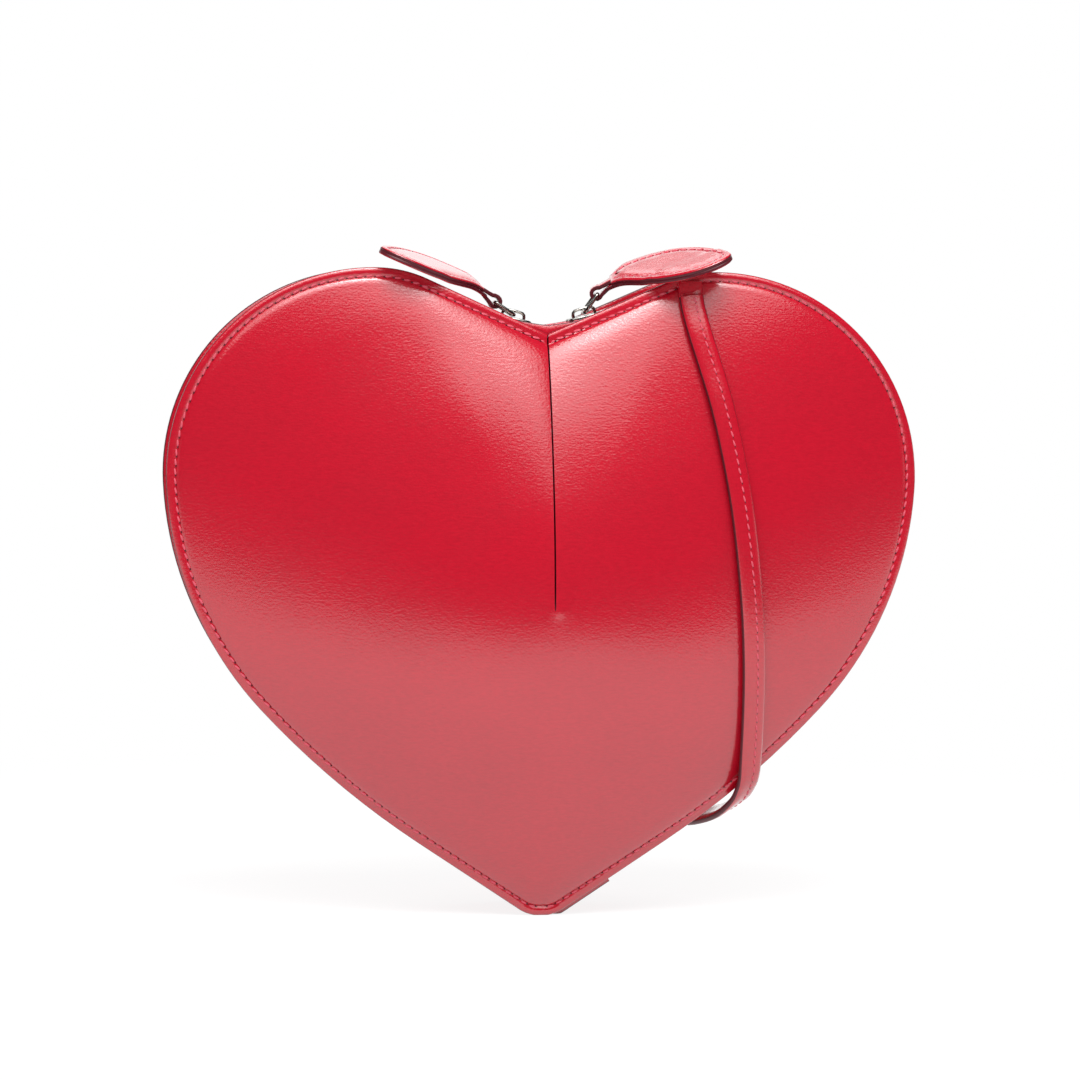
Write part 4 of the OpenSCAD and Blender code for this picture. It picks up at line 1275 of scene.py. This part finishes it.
class HEARTBAG_OT_gusset(bpy.types.Operator):
    """Make the gusset's strips beside the zip, the lower bands and their lap"""

    bl_idname = "heartbag.gusset"
    bl_label = "Gusset"

    def execute(self, context):
        stations = gusset_stations(ZIP_END_Z)
        for side, half in ((-1, "front"), (1, "back")):
            for mirror, hand in ((-1, "left"), (1, "right")):
                bm = bmesh.new()
                loft(bm, in_section(stations, strip_section, mirror, side), STRIP_MARKS)
                piece = finish_piece(f"gusset_{half}_{hand}", bm, leather_set(), None, "red_leather", 50)
                if side < 0:
                    piece = self.opened(piece, mirror)
                else:
                    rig.ride(piece, "back_half")
                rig.replaces(piece, f"strip_{half}_{hand}")
                self.strip_stitches(stations, mirror, side, half, hand, sizes_now(context))
        self.bands(sizes_now(context))
        return {"FINISHED"}

    def opened(self, piece, mirror):
        start = (mirror * OPEN_START[0], OPEN_START[1], OPEN_START[2])
        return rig.blend(piece, "back_half", "front_half", start=start, end=OPEN_END)

    def strip_stitches(self, stations, mirror, side, half, hand, sizes):
        stitches = []
        line = [Vector((mirror * p.x, side * (STRIP_GAP + 1.6), p.y)) for p, n, reach in stations]
        outs = [Vector((mirror * n.x, 0, n.y)) for p, n, reach in stations]
        for at, along in spaced(line, sizes.stitch_pitch):
            near = min(range(len(line)), key=lambda i: (line[i] - at).length)
            stitches.append(stitch(at, along, outs[near], sizes.stitch_pitch * 0.74, 0.55, 12))
        piece = sew(f"zip_stitches_{half}_{hand}", stitches, None)
        if side < 0:
            self.opened(piece, mirror)
        else:
            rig.ride(piece, "back_half")

    def bands(self, sizes):
        stations = lower_stations(ZIP_END_Z - SEAM_GAP, 0)
        right = [s for s in stations if s[0].x > LAP_START]
        wrap = [(Vector((-p.x, p.y)), Vector((-n.x, n.y)), reach) for p, n, reach in reversed(right)]
        plain = band_section(HALF_W, -GUSSET_T, 0)
        bm = bmesh.new()
        loft(bm, in_section(right, plain), BAND_MARKS)
        piece = finish_piece("gusset_band_right", bm, leather_set(), "back_half", "red_leather", 50)
        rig.replaces(piece, "band_right")
        bm = bmesh.new()
        middle = [s for s in stations if s[0].x <= LAP_START and s[0].x >= 0]
        loft(bm, in_section(stations + [], plain, -1), BAND_MARKS)
        lap = band_section(HALF_W - GUSSET_T - SEAM_GAP, SEAM_GAP, LAP_PROUD)
        lap_stations = [s for s in stations if s[0].x <= LAP_X - 1]
        lap_stations = [on_line(LAP_X)] + lap_stations
        lap_stations += [(Vector((-2.5, lap_stations[-1][0].y)), Vector((0, -1)), SEAM_H)]
        loft(bm, in_section(lap_stations, lap), BAND_MARKS)
        piece = finish_piece("gusset_band_left", bm, leather_set(), "back_half", "red_leather", 50)
        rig.replaces(piece, "band_left")


def on_line(x):
    """The station of the lower gusset at a distance from the middle."""
    stations = lower_stations(ZIP_END_Z, 0)
    for (p, n, r), (q, m, s) in zip(stations, stations[1:]):
        if p.x >= x >= q.x:
            t = (p.x - x) / (p.x - q.x)
            return p.lerp(q, t), n.lerp(m, t).normalized(), SEAM_H
    raise ValueError("no place on the lower gusset at that distance")


# Zip


class HEARTBAG_OT_zip(bpy.types.Operator):
    """Make the zip's tapes, teeth and end caps, and give the sliders and links their metal"""

    bl_idname = "heartbag.zip"
    bl_label = "Zip"

    def execute(self, context):
        stations = gusset_stations(ZIP_END_Z, 20, 40)
        both = [(Vector((-p.x, p.y)), Vector((-n.x, n.y)), r) for p, n, r in reversed(stations[1:])] + stations
        for side, half in ((-1, "front"), (1, "back")):
            bm = bmesh.new()
            section = lambda reach: [
                (TAPE_W, -GUSSET_T), (TAPE_W, -GUSSET_T - TAPE_T), (ROW_W + 0.5, -GUSSET_T - TAPE_T),
                (ROW_W, -GUSSET_T - TAPE_T - 0.3), (ROW_W - 0.35, -GUSSET_T - TAPE_T / 2),
                (ROW_W, -GUSSET_T + 0.3), (ROW_W + 0.5, -GUSSET_T)]
            loft(bm, in_section(both, section, 1, side))
            tape = finish_piece(f"zip_tape_{half}", bm, [MATERIALS["tape"]], None, "zip_tape")
            bm = bmesh.new()
            self.row(bm, side, 0 if side < 0 else TOOTH_PITCH / 2)
            teeth = finish_piece(f"zip_teeth_{half}", bm, [MATERIALS["nickel"]], None, "nickel", 30)
            if side < 0:
                tape = open_with_mouth(tape)
                teeth = open_with_mouth(teeth, weld=False)
            else:
                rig.ride(tape, "back_half")
                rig.ride(teeth, "back_half")
            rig.replaces(tape, f"tape_{half}")
            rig.replaces(teeth, f"teeth_{half}")
        for hand in SLIDER_X:
            self.slider(hand)
            self.link(hand)
            bm = bare_copy(f"cap_{hand}")
            round_edges(bm, 0.3, 3)
            cap = finish_piece(f"zip_end_cap_{hand}", bm, leather_set(), "back_half", "red_leather")
            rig.replaces(cap, f"cap_{hand}")
        return {"FINISHED"}

    def slider(self, hand):
        """Two cast plates with turned sides, a divider and an arched bridge."""
        bm = bmesh.new()
        for up in (1, -1):
            half = [Vector(p) for p in SLIDER_OUTLINE]
            loop = half + [Vector((x, -y)) for x, y in reversed(half)]
            levels = ((0.3, PLATE_IN), (0, PLATE_IN + 0.2), (0, PLATE_IN + PLATE_T - 0.35),
                      (0.15, PLATE_IN + PLATE_T - 0.1), (0.45, PLATE_IN + PLATE_T), (1.1, PLATE_IN + PLATE_T - 0.05))
            loft(bm, [[Vector((x * (1 - inset / 5.35), y * (1 - inset / 4.4), up * z)) for x, y in loop]
                      for inset, z in levels])
            for side in (1, -1):
                wall = block(bm, (-4.9, side * 3.55, up * 0.7), (-0.85, side * 4.4, up * (PLATE_IN + 0.1)))
                round_edges(bm, 0.2, 2, 35, wall)
        divider = block(bm, (-4.8, -0.3, -PLATE_IN - 0.1), (-2.6, 0.3, PLATE_IN + 0.1))
        round_edges(bm, 0.15, 2, 35, divider)
        w, t = 0.8, 0.4
        section = [(w, 0.1), (w, -0.1), (w - 0.25, -t), (0.25 - w, -t), (-w, -0.1), (-w, 0.1), (0.25 - w, t), (w - 0.25, t)]
        rings = []
        for i, at in enumerate(BRIDGE):
            run = Vector(BRIDGE[min(i + 1, len(BRIDGE) - 1)]) - Vector(BRIDGE[max(i - 1, 0)])
            out = Vector((-run.y, run.x)).normalized()
            rings.append([Vector((at[0] + out.x * z, y, at[1] + out.y * z)) for y, z in section])
        loft(bm, rings)
        place = slider_place(hand)
        bmesh.ops.transform(bm, matrix=place, verts=bm.verts)
        piece = finish_piece(f"slider_body_{hand}", bm, [MATERIALS["nickel"]], f"slider_{hand}", "nickel", 50)
        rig.replaces(piece, f"slider_{hand}")

    def link(self, hand):
        """A wire ring with one side in the slider's bridge and one in the tab's eye."""
        x = SLIDER_X[hand]
        a = zip_slope(x)
        at = VALLEY_C + VALLEY_R * polar(a - 90) + (BAR_HEIGHT - ROW_DEPTH) * polar(a + 90)
        place = (
            Matrix.Diagonal((-1 if hand == "left" else 1, 1, 1, 1)) @ Matrix.Translation((at.x, 0, at.y))
            @ Matrix.Rotation(-math.radians(LINK_SLOPE[hand]), 4, "Y") @ Matrix.Translation((LINK_L / 2, 0, 0))
        )
        path = rounded_loop(LINK_L / 2, (LINK_W + WIRE_D) / 2, 0.9, 5)
        rings = []
        for i, p in enumerate(path):
            run = (path[(i + 1) % len(path)] - path[i - 1]).normalized()
            out = Vector((run.y, -run.x))
            rings.append([Vector((p.x, p.y, 0)) + WIRE_D / 2 * (Vector((out.x, out.y, 0)) * c.x + Vector((0, 0, c.y)))
                          for c in (polar(36 * k) for k in range(10))])
        bm = bmesh.new()
        closed_loft(bm, rings)
        bmesh.ops.transform(bm, matrix=place, verts=bm.verts)
        piece = finish_piece(f"wire_link_{hand}", bm, [MATERIALS["nickel"]], f"link_{hand}", "nickel", 60)
        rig.replaces(piece, f"link_{hand}")

    def row(self, bm, side, shift):
        """One row of teeth: a foot clamped on the tape and a head between the other row's heads."""
        valley = VALLEY_R * math.radians(VALLEY_TURN - VALLEY_START)
        total = valley + ZIP_R * math.radians(
            VALLEY_TURN + 90 - math.degrees(math.asin((ZIP_END_Z - SHOULDER_C.y) / ZIP_R)))
        count = int((total - TOOTH_PITCH) / TOOTH_PITCH)
        for i in range(-count, count):
            d = (i + 0.5) * TOOTH_PITCH + shift
            away = abs(d)
            if away < valley:
                a = VALLEY_START + math.degrees(away / VALLEY_R)
                p = VALLEY_C + VALLEY_R * polar(a - 90)
            else:
                a = VALLEY_TURN - math.degrees((away - valley) / ZIP_R)
                p = SHOULDER_C + ZIP_R * polar(a + 90)
            mirror = 1 if d >= 0 else -1
            place = (
                Matrix.Translation((mirror * p.x, 0, p.y)) @ Matrix.Rotation(-mirror * math.radians(a), 4, "Y")
                @ Matrix.Translation((0, 0, -GUSSET_T - TAPE_T / 2)) @ Matrix.Diagonal((1, side, 1, 1))
            )
            foot = block(bm, (-0.6, 1.5, -TOOTH_T / 2), (0.6, ROW_W + 0.7, TOOTH_T / 2), place)
            head = block(bm, (-0.55, -0.85, -0.75), (0.55, 1.5, 0.75), place)
            tip = [v for v in head if (place.inverted() @ v.co).y < 0]
            bmesh.ops.scale(bm, vec=(1, 1, 0.7), verts=tip, space=place.inverted())


SLIDER_X, LINK_SLOPE = {"left": 8.6, "right": 12.9}, {"left": 33, "right": 55}
LINK_L, LINK_W, WIRE_D = 6.6, 4.4, 1.1
PLATE_IN, PLATE_T, BRIDGE_HOLE = TOOTH_T / 2 + PLATE_GAP, 0.9, 1.5
ROW_DEPTH, BAR_HEIGHT = GUSSET_T + TAPE_T / 2, PLATE_IN + PLATE_T + BRIDGE_HOLE / 2
# Half outline of a slider's plate, from its double nose to its tail
SLIDER_OUTLINE = (
    (-4.75, 0.12), (-4.95, 0.9), (-5.25, 1.6), (-5.35, 2.5), (-5.2, 3.5), (-4.75, 4.15), (-4.1, 4.4), (-1.2, 4.4),
    (-0.4, 4.25), (0.6, 3.95), (3.6, 3.6), (4.6, 3.45), (5.15, 3.1), (5.35, 2.5), (5.35, 0.12),
)
BRIDGE_FOOT = PLATE_IN + PLATE_T - 0.1
BRIDGE = tuple((x, BRIDGE_FOOT + z) for x, z in (
    (-3.25, 0), (-3.25, 0.8), (-3.1, 1.45), (-2.6, 1.85), (-1.8, 2.02), (0, 2.05),
    (1.8, 2.02), (2.6, 1.85), (3.1, 1.45), (3.25, 0.8), (3.25, 0),
))


def zip_slope(x):
    """Slope of the zip's line in the valley at a distance from the middle, in degrees."""
    return math.degrees(math.asin((x - VALLEY_C.x) / VALLEY_R))


def slider_place(hand):
    a = zip_slope(SLIDER_X[hand])
    at = VALLEY_C + VALLEY_R * polar(a - 90)
    return (
        Matrix.Diagonal((-1 if hand == "left" else 1, 1, 1, 1)) @ Matrix.Translation((at.x, 0, at.y))
        @ Matrix.Rotation(-math.radians(a), 4, "Y") @ Matrix.Translation((0, 0, -ROW_DEPTH))
    )


def bare_copy(node):
    """A CAD node's shape in millimetres, with its faces merged, ready to be rounded."""
    bm = bmesh.new()
    bm.from_mesh(frame["nodes"][node].data)
    bmesh.ops.remove_doubles(bm, verts=bm.verts, dist=1e-6)
    bmesh.ops.scale(bm, vec=(1 / MM, 1 / MM, 1 / MM), verts=bm.verts)
    bmesh.ops.dissolve_limit(bm, angle_limit=math.radians(1), verts=bm.verts, edges=bm.edges)
    return bm


# Pull tabs

TAB_L, TAB_W, TAB_T, EYE_R = 38, 22.5, 1.1, 2.2
TABS = {
    "left": {"eye": (-13.79, 0, 177.351), "slope": 22.5, "yaw": 0, "roll": 0, "mirror": -1, "sweep": 16, "lean": 13,
             "fold": 0.1},
    "right": {"eye": (16.259, 0, 180.147), "slope": 19.84, "yaw": -8, "roll": 4, "mirror": 1, "sweep": 18, "lean": 15,
              "fold": 0.2},
}
FOLD_Y = -15


def settle(verts, place, tab):
    """Bring a pull's leather to its place, where it leans and hangs over the front seam."""
    for v in verts:
        along = min(max(v.co.x / TAB_L, 0), 1)
        v.co = place @ v.co
        v.co.y -= tab["sweep"] * along**1.3
        over = FOLD_Y - v.co.y
        v.co.z += math.tan(math.radians(tab["lean"])) * max(-over, 0) * smooth((along + 0.05) / 0.3)
        v.co.z -= tab["fold"] * max(over, 0) * smooth(over / 4)


def cut_across(bm, step):
    """Cut a flat shape into small faces, so that it can bend."""
    for axis, reach in ((0, TAB_L), (1, TAB_W / 2)):
        normal = Vector((0, 0, 0))
        normal[axis] = 1
        for k in range(-int(reach / step), int(reach / step) + 1):
            bmesh.ops.bisect_plane(
                bm, geom=bm.verts[:] + bm.edges[:] + bm.faces[:], dist=1e-5,
                plane_co=normal * (k * step + 0.013), plane_no=normal)
PETAL_START, PETAL_POWERS, PETAL_N = 0.07, (1.35, 0.6), 40


def petal_w(t):
    return TAB_W / 2 * math.sin(math.pi * t ** PETAL_POWERS[0]) ** PETAL_POWERS[1] if 0 < t < 1 else 0


def petal_outline(inset, start):
    """Half outline of a petal from its neck to its end, drawn in by an inset."""
    points = []
    for i in range(PETAL_N + 1):
        t = start + (1 - start) * (1 - math.cos(math.pi * i / PETAL_N)) / 2
        points.append(Vector((t * TAB_L, petal_w(t))))
    if inset == 0:
        return points
    out = []
    for i, p in enumerate(points):
        d = points[min(i + 1, PETAL_N)] - points[max(i - 1, 0)]
        n = Vector((d.y, -d.x)).normalized()
        if i == PETAL_N:
            n = Vector((-1, 0))
        q = p + n * inset
        out.append(Vector((max(q.x, start * TAB_L + (inset if i == 0 else 0)), max(q.y, 0))))
    return out


def petal_ring(inset, start, z):
    half = petal_outline(inset, start)
    loop = half + [Vector((p.x, -p.y)) for p in reversed(half[1:-1])]
    return [Vector((p.x, p.y, z)) for p in loop]


class HEARTBAG_OT_tabs(bpy.types.Operator):
    """Make the two petal shaped pulls of two sewn leathers"""

    bl_idname = "heartbag.tabs"
    bl_label = "Pull tabs"

    def execute(self, context):
        for hand, tab in TABS.items():
            place = (
                Matrix.Diagonal((tab["mirror"], 1, 1, 1))
                @ Matrix.Translation((abs(tab["eye"][0]), 0, tab["eye"][2]))
                @ Matrix.Rotation(-math.radians(tab["slope"]), 4, "Y")
                @ Matrix.Rotation(math.radians(tab["yaw"]), 4, "Z")
                @ Matrix.Rotation(math.radians(tab["roll"]), 4, "X")
            )
            self.leathers(hand, place, tab, sizes_now(context))
        return {"FINISHED"}

    def leathers(self, hand, place, tab, sizes):
        body = f"tab_{hand}"
        bm = bmesh.new()
        top = [(0.15, 0), (0, 0.2), (0, TAB_T - 0.35), (0.3, TAB_T), (1.3, TAB_T + 0.1), (2.0, TAB_T - 0.15),
               (2.4, TAB_T - 0.1), (3.4, TAB_T + 0.2), (5.5, TAB_T + 0.35)]
        loft(bm, [petal_ring(inset, 0.11, z) for inset, z in top])
        cut_across(bm, 2.4)
        mark_edges(bm, TAB_T - 0.25)
        settle(bm.verts, place, tab)
        piece = finish_piece(f"tab_{hand}_upper_leather", bm, leather_set(), body, "red_leather", 50)
        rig.replaces(piece, f"tab_{hand}_top")
        bm = bmesh.new()
        low = [(0.3, -TAB_T), (0, -TAB_T + 0.3), (0, -0.2), (0.15, 0)]
        loft(bm, [petal_ring(inset, PETAL_START, z) for inset, z in low])
        cut_across(bm, 2.4)
        mark_edges(bm, TAB_T - 0.2)
        self.eye(bm)
        settle(bm.verts, place, tab)
        piece = finish_piece(f"tab_{hand}_lower_leather", bm, leather_set(), body, "red_leather", 50)
        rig.replaces(piece, f"tab_{hand}_base")
        half = [Vector((p.x, p.y, TAB_T - 0.05)) for p in petal_outline(2.0, 0.11)]
        line = half + [Vector((p.x, -p.y, p.z)) for p in reversed(half[:-1])]
        up = Vector((0, 0, 1))
        length = sizes.stitch_pitch * 0.66
        stitches = [stitch(at, along, up, length, 0.5) for at, along in spaced(line, sizes.stitch_pitch * 0.9)]
        sew(f"tab_{hand}_stitches", stitches, body, settled=lambda verts: settle(verts, place, tab))

    def eye(self, bm):
        """The neck of the lower leather, drawn round the link's bar and back under the upper one."""
        r, t = EYE_R - 0.6, 0.55
        path = [Vector((7.5, t)), Vector((4.2, t)), Vector((2.4, 0.85))]
        path += [r * polar(a) for a in range(45, 316, 27)]
        path += [Vector((2.4, -0.85)), Vector((4.2, -t)), Vector((7.5, -t))]
        rings = []
        for i, p in enumerate(path):
            run = (path[min(i + 1, len(path) - 1)] - path[max(i - 1, 0)]).normalized()
            out = Vector((run.y, -run.x))
            rings.append([Vector((p.x + out.x * z, y, p.y + out.y * z)) for y, z in (
                (1.9, 0.4), (1.9, -0.4), (1.75, -0.55), (-1.75, -0.55), (-1.9, -0.4), (-1.9, 0.4), (-1.75, 0.55),
                (1.75, 0.55))])
        loft(bm, rings, [1, 1, 0, 1, 1, 1, 0, 1])


# Lining


class HEARTBAG_OT_lining(bpy.types.Operator):
    """Make the cloth lining in two halves and its slip pocket"""

    bl_idname = "heartbag.lining"
    bl_label = "Lining"

    def execute(self, context):
        for side, name in ((-1, "front"), (1, "back")):
            lining = self.half(side, name)
            if side < 0:
                lining = open_with_mouth(lining)
            else:
                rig.ride(lining, "back_half")
            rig.replaces(lining, f"{name}_lining")
            area = sum(p.area for p in lining.data.polygons) / 2
            print("lining area", round(area, 5))
            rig.sheet(lining, flat=(0.25, 0.22), held="hung", rests_on=[f"{name}_panel_leather"], area=round(area, 4))
        self.pocket()
        return {"FINISHED"}

    def half(self, side, name):
        bm = bmesh.new()
        rim = whole(rim_half(0))
        shares = (0.9, 0.86, 0.81, 0.75, 0.68, 0.6, 0.52, 0.43, 0.34, 0.25, 0.15, 0.06)
        out, thick, gap = LEATHER_T + 0.6, 0.5, 0.15

        def ring(share, y):
            return [Vector((q.x, side * y, q.y)) for q in (drawn_in(p, share) for p in rim)]

        def height(share):
            return FACE_Y + DOME_H * (1 - share**DOME_POWER)

        edge = 0.9
        wall = edge - thick / DOME_Z
        rings = [ring(s, height(s) - out) for s in reversed(shares)]
        rings += [ring(edge, gap), ring(wall, gap), ring(wall, height(edge) - out - thick)]
        rings += [ring(s, height(s) - out - thick) for s in shares[1:]]
        loft(bm, rings)
        bmesh.ops.poke(bm, faces=[f for f in bm.faces if len(f.verts) > 50])
        return finish_piece(f"{name}_cloth_lining", bm, [MATERIALS["lining"]], None, "lining_cloth", 60)

    def pocket(self):
        low, high = (Vector(c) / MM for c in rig.box("slip_pocket"))
        bm = bmesh.new()
        across, up = 30, 28
        bmesh.ops.create_grid(bm, x_segments=across, y_segments=up, size=0.5)
        for v in bm.verts:
            x = low.x + (v.co.x + 0.5) * (high.x - low.x)
            z = low.z + (v.co.y + 0.5) * (high.z - low.z)
            share = share_at(x, z)
            hem = 0.35 if z > high.z - 3 else 0
            y = FACE_Y + DOME_H * (1 - share**DOME_POWER) - LEATHER_T - 0.5 - 0.6 - 0.9 + hem * 0.2
            v.co = (x, y, z)
        solid = bmesh.ops.solidify(bm, geom=bm.faces[:], thickness=0.5)
        pocket = finish_piece("slip_pocket_cloth", bm, [MATERIALS["lining"]], "back_half", "lining_cloth", 60)
        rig.replaces(pocket, "slip_pocket")
        area = sum(p.area for p in pocket.data.polygons) / 2
        width, height = (high.x - low.x) * MM, (high.z - low.z) * MM
        print("pocket", width, height, area)
        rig.sheet(pocket, flat=(round(width + 0.004, 3), round(height + 0.004, 3)), held="hung",
                 rests_on=["back_cloth_lining"])


class HEARTBAG_PT_panel(bpy.types.Panel):
    bl_idname = "HEARTBAG_PT_panel"
    bl_label = "Heart bag"
    bl_space_type = "VIEW_3D"
    bl_region_type = "UI"
    bl_category = "Heart bag"

    def draw(self, context):
        sizes = sizes_now(context)
        for name in sizes.__annotations__:
            self.layout.prop(sizes, name)
        for operator in OPERATORS:
            self.layout.operator(operator.bl_idname)


OPERATORS = (
    HEARTBAG_OT_camera, HEARTBAG_OT_strap, HEARTBAG_OT_panels, HEARTBAG_OT_gusset, HEARTBAG_OT_zip,
    HEARTBAG_OT_tabs, HEARTBAG_OT_lining, HEARTBAG_OT_stage,
)
CLASSES = (HeartBagSizes, *OPERATORS, HEARTBAG_PT_panel)


def register():
    for cls in CLASSES:
        bpy.utils.register_class(cls)
    bpy.types.Scene.heart_bag = PointerProperty(type=HeartBagSizes)


def unregister():
    del bpy.types.Scene.heart_bag
    for cls in reversed(CLASSES):
        bpy.utils.unregister_class(cls)


def main():
    register()
    make_materials(bpy.context.scene.heart_bag)
    bpy.ops.heartbag.camera()
    bpy.ops.heartbag.strap()
    bpy.ops.heartbag.panels()
    bpy.ops.heartbag.gusset()
    bpy.ops.heartbag.zip()
    bpy.ops.heartbag.tabs()
    bpy.ops.heartbag.lining()
    bpy.ops.heartbag.stage()
    with open("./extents.json", "w") as out:
        json.dump({"cad": CAD_BOX, "visual": [list(corner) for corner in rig.bounds()]}, out)


if __name__ == "__main__":
    main()
